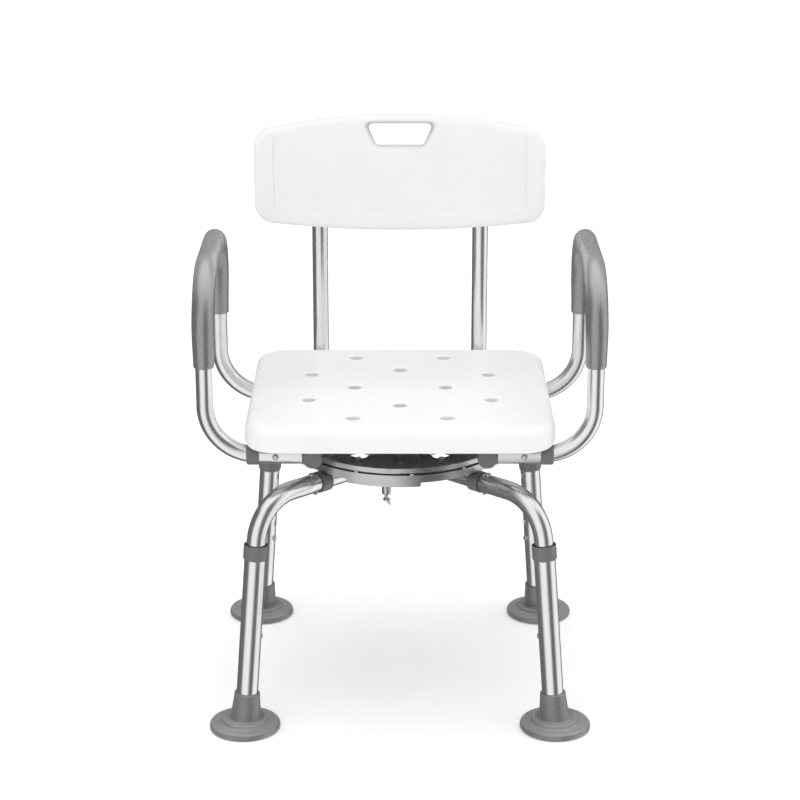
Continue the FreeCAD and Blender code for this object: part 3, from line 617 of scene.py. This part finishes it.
class Leg:
    """One corner: the foot's place, and the way up its leaning axis."""

    def __init__(self, name):
        low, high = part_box("foot_" + name)
        self.name = name
        self.foot = Vector(((low.x + high.x) / 2, (low.y + high.y) / 2, 0))
        self.out = self.foot.normalized()
        axis = next(Vector(j["axis"]) for j in frame["joints"] if j["name"] == "leg_height_" + name)
        self.up = (axis if axis.z > 0 else -axis).normalized()
        toward = Vector((-math.copysign(math.cos(HOLE_TURN), self.foot.x),
                         -math.copysign(math.sin(HOLE_TURN), self.foot.y), 0))
        self.hole = (toward - self.up * toward.dot(self.up)).normalized()

    def at(self, height):
        return self.foot + self.up * height

    def frame(self, reach):
        low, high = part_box("cross_tubes")
        return self.out * reach + Vector((0, 0, (low.z + high.z) / 2))


def make_leg_tube(leg):
    path = straight(leg.at(TUBE_LOW), leg.at(TUBE_TOP), leg.up, 0.02)
    tube = swept_pipe("sliding_leg_" + leg.name, path, *LEG_OUTER, tube_uv, "leg_" + leg.name,
                      ["leg_tube_" + leg.name], "tube_aluminium")
    heights = [BUTTON_HEIGHT + HOLE_PITCH * step for step in range(HOLE_COUNT)]
    drill(tube, [(leg.at(h) + leg.hole * HOLE_FROM, leg.at(h) + leg.hole * HOLE_TO) for h in heights], HOLE_R)


def make_bent_leg(leg):
    level = leg.frame(0).z
    corner = leg.at(level / leg.up.z)
    path = rounded_path([leg.frame(BENT_START), corner, leg.at(BENT_LOW)], [BENT_RADIUS])
    tube = swept_pipe("bent_leg_" + leg.name, path, *LEG_INNER, tube_uv, "base", ["bent_legs"],
                      "tube_aluminium")
    button, low = leg.frame(FRAME_BUTTON_REACH), leg.at(BUTTON_HEIGHT)
    up = Vector((0, 0, 1))
    drill(tube, [(button + up * HOLE_FROM, button + up * HOLE_TO),
                 (low + leg.hole * HOLE_FROM, low + leg.hole * HOLE_TO)], HOLE_R)


def make_cross_tube(leg):
    low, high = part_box("cross_tubes")
    end = (max(high.x, -low.x) - FRAME_TUBE[0] * abs(leg.out.y)) / abs(leg.out.x)
    path = straight(leg.frame(CROSS_START), leg.frame(end), leg.out, 0.02)
    swept_pipe("cross_tube_" + leg.name, path, *FRAME_TUBE, tube_uv, "base", ["cross_tubes"],
               "tube_aluminium")


# (radius, height) in millimetres: under the base, round its rim, up the neck and down its bore
FOOT_SECTION = (
    (6, 2.6), (19, 2.6), (21, 1.4), (23.5, 1.4), (25.5, 2.8), (32.5, 2.8), (36, 1.0), (38.6, 0.1), (40, 0),
    (43.8, 0), (45.6, 0.5), (46.6, 1.6), (46.85, 3.0), (46.85, 5.2), (46.45, 7.0), (45.3, 8.4), (43.6, 9.2),
    (41.0, 9.7), (37.5, 10.1), (34.6, 10.7), (32.8, 11.6), (31.6, 13.0), (30.6, 14.4), (29.2, 15.2),
    (27.6, 15.5), (25.8, 15.3), (24.3, 14.7), (23.0, 14.4), (21.8, 14.7), (20.8, 15.8), (20.1, 17.6),
    (19.7, 20.5), (19.2, 25), (18.6, 32), (17.9, 39), (17.3, 45), (17.15, 46.5), (17.2, 48.4),
    (16.9, 49.5), (16.2, 50), (15.2, 49.9), (14.6, 49.3), (14.38, 48.2), (14.38, 30), (14.38, 14.6),
    (13.6, 14.2))
FOOT_TURN_LOW, FOOT_TURN_HIGH, FOOT_NECK_FROM = 10, 26, 24
FOOT_AROUND = 96


def make_foot(leg):
    """Suction foot: its base lies flat and its neck leans with the leg, so the rings turn between the two."""
    rings = []
    for radius, height in FOOT_SECTION:
        lean = smooth(FOOT_TURN_LOW, FOOT_TURN_HIGH, height) if radius < FOOT_NECK_FROM else 0.0
        axis = Vector((0, 0, 1)).lerp(leg.up, lean).normalized()
        centre = leg.foot + Vector((0, 0, height * MM)).lerp(leg.up * height * MM, lean)
        rings.append(circle(centre, axis, radius * MM, FOOT_AROUND))
    vertices, faces = loft(rings, closed=False)
    faces += [tuple(range(FOOT_AROUND))[::-1], tuple(range(len(vertices) - FOOT_AROUND, len(vertices)))]
    piece("suction_foot_" + leg.name, vertices, faces, finishes["foot_rubber"], "leg_" + leg.name,
          ["foot_" + leg.name], "foot_rubber")


def make_leg_collar(leg):
    """Clamp collar: a round mouth that funnels down to the sliding tube."""
    section = soft_profile([(14.36, 236.5), (15.4, 236.5), (16.2, 238.2), (16.2, 256.5), (14.9, 256.5),
                            (12.95, 252.4), (12.95, 250.02), (14.36, 250.02)],
                           [0, 0.4, 0.8, 0.7, 0.4, 0.4, 0, 0])
    turned_piece("clamp_collar_" + leg.name, [(r * MM, h * MM) for r, h in section], leg.foot, leg.up,
                 finishes["grey_plastic"], "leg_" + leg.name, ["leg_collar_" + leg.name], "grey_plastic")


for leg in [Leg(name) for name in CORNERS]:
    make_leg_tube(leg)
    make_bent_leg(leg)
    make_cross_tube(leg)
    make_foot(leg)
    make_leg_collar(leg)


# ---------------------------------------------------------------- arms and back posts

def make_arm(side):
    low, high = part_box("arm_tube_" + side)
    sign = 1 if high.x > 0 else -1
    outer, r = max(abs(low.x), abs(high.x)) - FRAME_TUBE[0], FRAME_TUBE[0]
    front, rear, bottom, top = low.y + r, high.y - r, low.z + r, high.z - r
    places = [(ARM_INSET, front, bottom), (outer, front, bottom), (outer, front, top), (outer, rear, top),
              (outer, rear, bottom), (ARM_INSET, rear, bottom)]
    points = [Vector((sign * x, y, z)) for x, y, z in places]
    path = rounded_path(points, ARM_BENDS)
    swept_pipe("arm_" + side, path, *FRAME_TUBE, tube_uv, "seat", ["arm_tube_" + side], "tube_aluminium")
    grip_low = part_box("arm_grip_" + side)[0].z
    run = [Vector((p.x, p.y, grip_low)) if p.z < grip_low else p for p in points[1:5]]
    grip_path = rounded_path(run, ARM_BENDS[1:3], run=0.006)
    length = sum((b - a).length for (a, _), (b, _) in zip(grip_path, grip_path[1:]))

    def radius(reach):
        return GRIP_END_R + (GRIP_R - GRIP_END_R) * smooth(0, 60 * MM, min(reach, length - reach))

    swept_pipe("grip_" + side, grip_path, radius, r + 0.1 * MM, finishes["grip"], "seat",
               ["arm_grip_" + side], "grip", lip=1.8 * MM)


def make_back_post(side):
    low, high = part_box("back_post_" + side)
    sign = 1 if high.x > 0 else -1
    r = FRAME_TUBE[0]
    x, rear, bottom = sign * (max(abs(low.x), abs(high.x)) - r), high.y - r, low.z + r
    rail_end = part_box("side_rails")[1].y
    step = Vector((0, 0.3 * MM, 0))
    tail_start, tail_end = Vector((x, low.y, bottom)), Vector((x, rail_end, bottom))
    tail = straight(tail_start, tail_end, Vector((0, 1, 0)), 0.02)
    post = rounded_path([tail_end + step, Vector((x, rear, bottom)), Vector((x, rear, high.z))], [POST_BEND])
    length = rail_end - low.y
    swept_pipe("post_" + side, tail + post, lambda run: POST_TAIL if run < length + 0.1 * MM else r,
               POST_TAIL - 1.5 * MM, tube_uv, "seat", ["back_post_" + side], "tube_aluminium")


for side in SIDES:
    make_arm(side)
    make_back_post(side)


# ---------------------------------------------------------------- seat

seat_low, seat_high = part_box("seat_panel")
SEAT_DISH = 1.0 * MM
# (inset from the outline, drop below the top), from the flat top over the edge to the flat underside
SEAT_RIM = ((13, 0), (10.5, 0.12), (8.2, 0.55), (6.2, 1.25), (4.4, 2.3), (2.9, 3.7), (1.7, 5.5), (0.8, 7.7),
            (0.25, 10.2), (0, 13), (0, 23), (0.25, 26), (0.9, 28.8), (2.0, 31.2), (3.2, 32.6), (4.3, 33.2),
            (5.2, 32.9), (5.7, 31.8), (5.9, 30), (6.1, 10), (6.6, 7.8), (7.8, 6.2), (9.6, 5.5))
# (distance from the hole's axis, drop below the top), from the flat top down the hole and up its outside
DRAIN_RIM = ((11.6, 0), (10.8, 0.12), (10.1, 0.5), (9.5, 1.1), (9.12, 1.9), (9.0, 2.9), (9.0, 20.4),
             (9.3, 21), (11.0, 21), (11.4, 20.6), (11.5, 8), (12.2, 6.4), (13.6, 5.5))


def seat_outline(inset, sides=18, corner=14):
    """The seat's rounded rectangle, drawn in by an inset."""
    radius = SEAT_CORNER - inset
    far_x, near_x = seat_high.x - SEAT_CORNER, seat_low.x + SEAT_CORNER
    far_y, near_y = seat_high.y - SEAT_CORNER, seat_low.y + SEAT_CORNER
    loop = []
    for quarter, centre in enumerate(((far_x, far_y), (near_x, far_y), (near_x, near_y), (far_x, near_y))):
        turns = [math.pi / 2 * (quarter + i / corner) for i in range(corner + 1)]
        arc = [Vector((centre[0] + radius * math.cos(t), centre[1] + radius * math.sin(t))) for t in turns]
        if loop:
            loop += [loop[-1].lerp(arc[0], i / sides) for i in range(1, sides)]
        loop += arc
    return loop + [loop[-1].lerp(loop[0], i / sides) for i in range(1, sides)]


def seat_top(x, y):
    """Height of the top: a shallow dish that sheds water to the drains."""
    across = abs(x) / seat_high.x
    deep = abs(y - SEAT_MIDDLE) / (seat_high.y - SEAT_MIDDLE)
    return seat_high.z - SEAT_DISH * (1 - smooth(0.35, 0.92, across)) * (1 - smooth(0.3, 0.9, deep))


def seat_ring(loop, drop):
    return [Vector((p.x, p.y, seat_top(p.x, p.y) - drop)) for p in loop]


def drain_centres():
    return sorted({(sx * x, SEAT_MIDDLE + sy * y) for x, y in DRAINS for sx in (-1, 1) for sy in (-1, 1)})


def drain_loop(centre, radius, around=36):
    turns = [math.tau * i / around for i in range(around)]
    return [Vector((centre[0] + radius * math.cos(t), centre[1] + radius * math.sin(t))) for t in turns]


def make_seat():
    vertices, faces = [], []

    def add(more, walls):
        vertices.extend(more)
        faces.extend(walls)

    rims = [seat_ring(seat_outline(inset * MM), drop * MM) for inset, drop in SEAT_RIM]
    add(*loft(rims, closed=False, first=len(vertices)))
    for centre in drain_centres():
        rings = [seat_ring(drain_loop(centre, r * MM), drop * MM) for r, drop in DRAIN_RIM]
        add(*loft(rings, closed=False, first=len(vertices)))
    for which in (0, -1):
        inset, drop = SEAT_RIM[which]
        holes = [drain_loop(centre, DRAIN_RIM[which][0] * MM) for centre in drain_centres()]
        flat, triangles = filled(seat_outline(inset * MM), holes, [], 9 * MM)
        first = len(vertices)
        add(seat_ring(flat, drop * MM), [tuple(first + i for i in triangle) for triangle in triangles])
    piece("seat_shell", vertices, faces, finishes["white_plastic"], "seat", ["seat_panel"], "white_plastic")


def bar(low, high):
    corners = [Vector((x, y, z)) for z in (low.z, high.z) for x, y in (
        (low.x, low.y), (high.x, low.y), (high.x, high.y), (low.x, high.y))]
    return corners, [(3, 2, 1, 0), (4, 5, 6, 7), (0, 1, 5, 4), (1, 2, 6, 5), (2, 3, 7, 6), (3, 0, 4, 7)]


def post_mesh(base, rings, around=40):
    """A closed turned post on an upright axis, from (radius, height) rings."""
    loops = [circle(base + Vector((0, 0, h)), Vector((0, 0, 1)), r, around) for r, h in rings]
    vertices, faces = loft(loops, closed=False)
    last = len(vertices)
    return vertices, faces + [tuple(range(around))[::-1], tuple(range(last - around, last))]


RIB_HALF, RIB_LOW, RIB_TOP, RIB_END = 1.4 * MM, 29 * MM, 3.5 * MM, 4 * MM
CROSS_RIBS, LONG_RIBS = (-118 * MM, -28 * MM, 28 * MM, 118 * MM), (-92 * MM, -31 * MM, 31 * MM, 92 * MM)
BOSS_R, BOSS_YS = 10 * MM, (-100 * MM, 95 * MM)


def make_seat_ribs():
    """The stiffening lattice and screw bosses moulded under the seat."""
    z_low, z_high = seat_high.z - RIB_LOW, seat_high.z - RIB_TOP
    bars = [bar(Vector((seat_low.x + RIB_END, SEAT_MIDDLE + y - RIB_HALF, z_low)),
                Vector((seat_high.x - RIB_END, SEAT_MIDDLE + y + RIB_HALF, z_high))) for y in CROSS_RIBS]
    bars += [bar(Vector((x - RIB_HALF, seat_low.y + RIB_END, z_low)),
                 Vector((x + RIB_HALF, seat_high.y - RIB_END, z_high))) for x in LONG_RIBS]
    rail_x = max(abs(corner.x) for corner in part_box("back_post_left")) - FRAME_TUBE[0]
    rail_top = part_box("side_rails")[1].z
    for x in (-rail_x, rail_x):
        for y in BOSS_YS:
            height = z_high - rail_top
            boss = ((BOSS_R - 1 * MM, 0), (BOSS_R, 1 * MM), (BOSS_R, height))
            bars.append(post_mesh(Vector((x, y, rail_top)), boss))
    made = piece("seat_ribs", *bars[0], finishes["white_plastic"], "seat", ["seat_panel"], "white_plastic")
    for more in bars[1:]:
        combine(made, *more, "UNION")


make_seat()
make_seat_ribs()


# ---------------------------------------------------------------- back

back_low, back_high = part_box("back_panel")
BACK_HALF, BACK_FRONT = back_high.x, 186 * MM
SWEEP_R = (BACK_HALF ** 2 + BACK_SAG ** 2) / (2 * BACK_SAG)
# (inset from the outline or growth of the slot, depth behind the front face)
BACK_RIM = ((9, 0), (7, 0.15), (5.2, 0.6), (3.5, 1.4), (2.1, 2.5), (1.0, 4.0), (0.3, 5.8), (0, 7.6), (0, 9.6),
            (0.4, 11.2), (1.2, 12.5), (2.5, 13.5), (4.2, 14))
SLOT_RIM = ((5, 0), (3.7, 0.2), (2.5, 0.7), (1.5, 1.5), (0.7, 2.6), (0.2, 4.0), (0, 5.6), (0, 9.0),
            (0.3, 10.8), (1.0, 12.2), (2.2, 13.4), (3.8, 14))


def back_outline(inset, arc=56, corner=12, side=14):
    """The back seen from the front, as (x, z): bowed top and bottom, rounded corners."""
    loop, radius = [], BACK_CORNER - inset
    spans = ((1, back_high.z, BACK_TOP_DROP), (-1, back_low.z, BACK_LOW_RISE))
    for way, tip, rise in spans:
        bow = (BACK_HALF ** 2 + rise ** 2) / (2 * rise)
        middle = Vector((0, tip - way * bow))
        reach = BACK_HALF - BACK_CORNER
        lift = math.sqrt((bow - BACK_CORNER) ** 2 - reach ** 2)
        turn = math.atan2(lift, reach)
        for sign in (1, -1):
            centre = middle + Vector((sign * way * reach, way * lift))
            low, high = (0, turn) if sign == 1 else (math.pi - turn, math.pi)
            base = 0 if way == 1 else math.pi
            angles = [base + low + (high - low) * i / corner for i in range(corner + 1)]
            fillet = [centre + Vector((math.cos(t), math.sin(t))) * radius for t in angles]
            if sign == 1:
                if loop:
                    loop += [loop[-1].lerp(fillet[0], i / side) for i in range(1, side)]
                loop += fillet
                top = [base + turn + (math.pi - 2 * turn) * i / arc for i in range(1, arc)]
                loop += [middle + Vector((math.cos(t), math.sin(t))) * (bow - inset) for t in top]
            else:
                loop += fillet
    return loop + [loop[-1].lerp(loop[0], i / side) for i in range(1, side)]


def slot_outline(grow, steps=7, side=8):
    """The handle slot, as (x, z): a trapezoid with round corners, grown outwards."""
    corners = [Vector(p) for p in ((-SLOT_LOW_HALF, SLOT_LOW_Z), (SLOT_LOW_HALF, SLOT_LOW_Z),
                                   (SLOT_HIGH_HALF, SLOT_HIGH_Z), (-SLOT_HIGH_HALF, SLOT_HIGH_Z))]
    loop = []
    for before, corner, after in zip(corners[-1:] + corners, corners, corners[1:] + corners[:1]):
        into, out = (corner - before).normalized(), (after - corner).normalized()
        start, end = Vector((into.y, -into.x)), Vector((out.y, -out.x))
        half = start.angle(end) / 2
        centre = corner - (start + end).normalized() * SLOT_CORNER / math.cos(half)
        arc = [centre + start.slerp(end, i / steps) * (SLOT_CORNER + grow) for i in range(steps + 1)]
        if loop:
            loop += [loop[-1].lerp(arc[0], i / side) for i in range(1, side)]
        loop += arc
    return loop + [loop[-1].lerp(loop[0], i / side) for i in range(1, side)]


def field(x, z):
    """Depth of the recessed middle of the back, which runs out below the handle."""
    rise = BACK_LOW_RISE * (x / BACK_HALF) ** 2
    side = smooth(0, FIELD_STEP, FIELD_HALF - abs(x))
    foot = smooth(0, 3.5 * MM, z - back_low.z - FIELD_MARGIN - rise)
    late = smooth(0.8, 0.97, abs(x) / FIELD_HALF)
    fade_low = FIELD_FADE_LOW + (FIELD_FADE_HIGH - 3 * MM - FIELD_FADE_LOW) * late
    return FIELD_DEPTH * side * foot * (1 - smooth(fade_low, FIELD_FADE_HIGH, z))


def back_point(p, depth):
    """A place on the swept back, some way behind its front face."""
    share = max(0.0, 1 - depth / (8 * MM))
    reach = SWEEP_R + depth + field(p.x, p.y) * share
    return Vector((p.x, BACK_FRONT - SWEEP_R + math.sqrt(reach ** 2 - p.x ** 2), p.y))


def make_back():
    vertices, faces = [], []
    for outline, rim in ((back_outline, BACK_RIM), (slot_outline, SLOT_RIM)):
        rings = [[back_point(p, depth * MM) for p in outline(inset * MM)] for inset, depth in rim]
        more, walls = loft(rings, closed=False, first=len(vertices))
        vertices += more
        faces += walls
    for which in (0, -1):
        (inset, depth), (grow, _) = BACK_RIM[which], SLOT_RIM[which]
        folds = field_folds() if which == 0 else []
        flat, triangles = filled(back_outline(inset * MM), [slot_outline(grow * MM)], folds, 6 * MM)
        first = len(vertices)
        vertices += [back_point(p, depth * MM) for p in flat]
        faces += [tuple(first + i for i in triangle) for triangle in triangles]
    made = piece("back_shell", vertices, faces, finishes["white_plastic"], "seat", ["back_panel"],
                 "white_plastic")
    low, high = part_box("back_post_left")
    x, y = high.x - FRAME_TUBE[0], high.y - FRAME_TUBE[0]
    length = SOCKET_TOP - SOCKET_LOW
    walls = ((SOCKET_R - 2.4 * MM, 0), (SOCKET_R - 0.9 * MM, 0.5 * MM), (SOCKET_R, 2 * MM),
             (SOCKET_R, length - 3 * MM), (SOCKET_R - 0.9 * MM, length - 1 * MM), (SOCKET_R - 3 * MM, length))
    for sign in (-1, 1):
        combine(made, *post_mesh(Vector((sign * x, y, SOCKET_LOW)), walls), "UNION")
    bore = FRAME_TUBE[0] + 0.1 * MM
    for sign in (-1, 1):
        depth = high.z - SOCKET_LOW + 20 * MM
        hole = post_mesh(Vector((sign * x, y, SOCKET_LOW - 20 * MM)), ((bore, 0), (bore, depth)), 56)
        combine(made, *hole, "DIFFERENCE")


def field_folds(count=70):
    """Lines on each side of the recess's step, so that the step is crisp."""
    folds = []
    for share in (0.0, 0.25, 0.5, 0.75, 1.0):
        x = FIELD_HALF - share * FIELD_STEP
        lift = FIELD_MARGIN + share * 3.5 * MM
        foot = []
        for i in range(count + 1):
            at = -x + 2 * x * i / count
            foot.append(Vector((at, back_low.z + lift + BACK_LOW_RISE * (at / BACK_HALF) ** 2)))
        top = FIELD_FADE_HIGH
        right = [foot[-1].lerp(Vector((x, top)), i / 20) for i in range(1, 21)]
        left = [foot[0].lerp(Vector((-x, top)), i / 20) for i in range(20, 0, -1)]
        outer, inner = FIELD_HALF - 10 * MM, SLOT_HIGH_HALF + 12 * MM
        over = [Vector((outer + (inner - outer) * i / 18, top)) for i in range(19)]
        over += [Vector((-point.x, top)) for point in reversed(over)]
        folds.append(foot + right + over + left)
    return folds


make_back()


# ---------------------------------------------------------------- floor, light and camera

def make_floor():
    """A pale sweep: a disc whose rim curls up far behind the object on every side."""
    s = Shader("floor_paint", Roughness=0.7, Specular_IOR_Level=0.15, Emission_Strength=0.17)
    s.surface.inputs["Emission Color"].default_value = grey(1.0)
    s.set("Base Color", s.blend(s.spread(s.noise(s.place, 3.0, 4.0), 0.3, 0.7), grey(0.93), grey(0.955)))
    s.bump(s.noise(s.place, 240.0, 3.0), 0.03, 0.0004)
    rings = [circle(Vector((0, 0, 0)), Vector((0, 0, 1)), r, 96) for r in (1, 3, 6, 8)]
    rings += [circle(Vector((0, 0, 3 - 3 * math.cos(t))), Vector((0, 0, 1)), 8 + 3 * math.sin(t), 96)
              for t in [math.radians(9 * i) for i in range(1, 11)]]
    vertices, faces = loft(rings, closed=False)
    faces.append(tuple(range(96))[::-1])
    mesh = bpy.data.meshes.new("floor")
    mesh.from_pydata([tuple(v) for v in vertices], [], faces)
    mesh.materials.append(s.material)
    mesh.shade_smooth()
    floor = bpy.data.objects.new("floor", mesh)
    bpy.context.scene.collection.objects.link(floor)
    floor.visible_glossy = False


def make_world():
    """Studio surroundings by direction: two tall soft boxes and an overhead one in a grey room."""
    world = bpy.data.worlds.new("studio")
    world.use_nodes = True
    bpy.context.scene.world = world
    tree = world.node_tree

    def node(kind, inputs=None, **settings):
        made = tree.nodes.new(kind)
        for key, value in settings.items():
            setattr(made, key, value)
        for key, value in (inputs or {}).items():
            if isinstance(value, bpy.types.NodeSocket):
                tree.links.new(value, made.inputs[key])
            else:
                made.inputs[key].default_value = value
        return made

    def maths(operation, first, second=0.0):
        return node("ShaderNodeMath", {0: first, 1: second}, operation=operation).outputs[0]

    way = node("ShaderNodeSeparateXYZ", {0: node("ShaderNodeTexCoord").outputs["Generated"]})
    x, y, z = way.outputs
    turn = maths("ARCTAN2", x, maths("MULTIPLY", y, -1.0))

    def step(value, place, soft, start, end):
        inputs = {"Value": value, "From Min": place - soft, "From Max": place + soft,
                  "To Min": start, "To Max": end}
        return node("ShaderNodeMapRange", inputs, interpolation_type="SMOOTHSTEP").outputs[0]

    def between(value, low, high, soft):
        return maths("MULTIPLY", step(value, low, soft, 0.0, 1.0), step(value, high, soft, 1.0, 0.0))

    left = between(turn, math.radians(-60), math.radians(9), math.radians(14))
    right = between(turn, math.radians(57), math.radians(124), math.radians(13))
    above = between(z, 0.72, 1.2, 0.12)
    glow = maths("MAXIMUM", maths("MAXIMUM", maths("MULTIPLY", left, 0.95), right), above)
    light = maths("ADD", maths("MULTIPLY", glow, 0.95), 0.16)
    shade = node("ShaderNodeBackground", {"Color": light, "Strength": 1.0})
    tree.links.new(shade.outputs[0], tree.nodes["World Output"].inputs["Surface"])


def soft_light(name, place, target, size, power, glossy=False):
    lamp = bpy.data.lights.new(name, "AREA")
    lamp.shape = "RECTANGLE"
    lamp.size, lamp.size_y = size
    lamp.energy = power
    made = bpy.data.objects.new(name, lamp)
    bpy.context.scene.collection.objects.link(made)
    made.location = place
    made.rotation_euler = (Vector(target) - Vector(place)).to_track_quat("-Z", "Y").to_euler()
    made.visible_glossy = glossy


def make_camera():
    lens = bpy.data.cameras.new("camera")
    lens.lens, lens.sensor_width = 101.97, 36.0
    camera = bpy.data.objects.new("camera", lens)
    bpy.context.scene.collection.objects.link(camera)
    camera.location = (0, -2.938, 1.357)
    camera.rotation_euler = (math.radians(90 - 18.09), 0, 0)
    bpy.context.scene.camera = camera


make_floor()
make_world()
soft_light("overhead", (0, -0.2, 4.2), (0, 0, 0.2), (6.0, 6.0), 95)
soft_light("front_fill", (-1.2, -4.2, 1.9), (0, 0, 0.4), (3.0, 2.2), 1)
soft_light("back_fill", (0.8, 4.0, 2.6), (0, 0, 0.4), (3.0, 2.0), 5)
make_camera()
bpy.context.scene.view_settings.view_transform = "Standard"
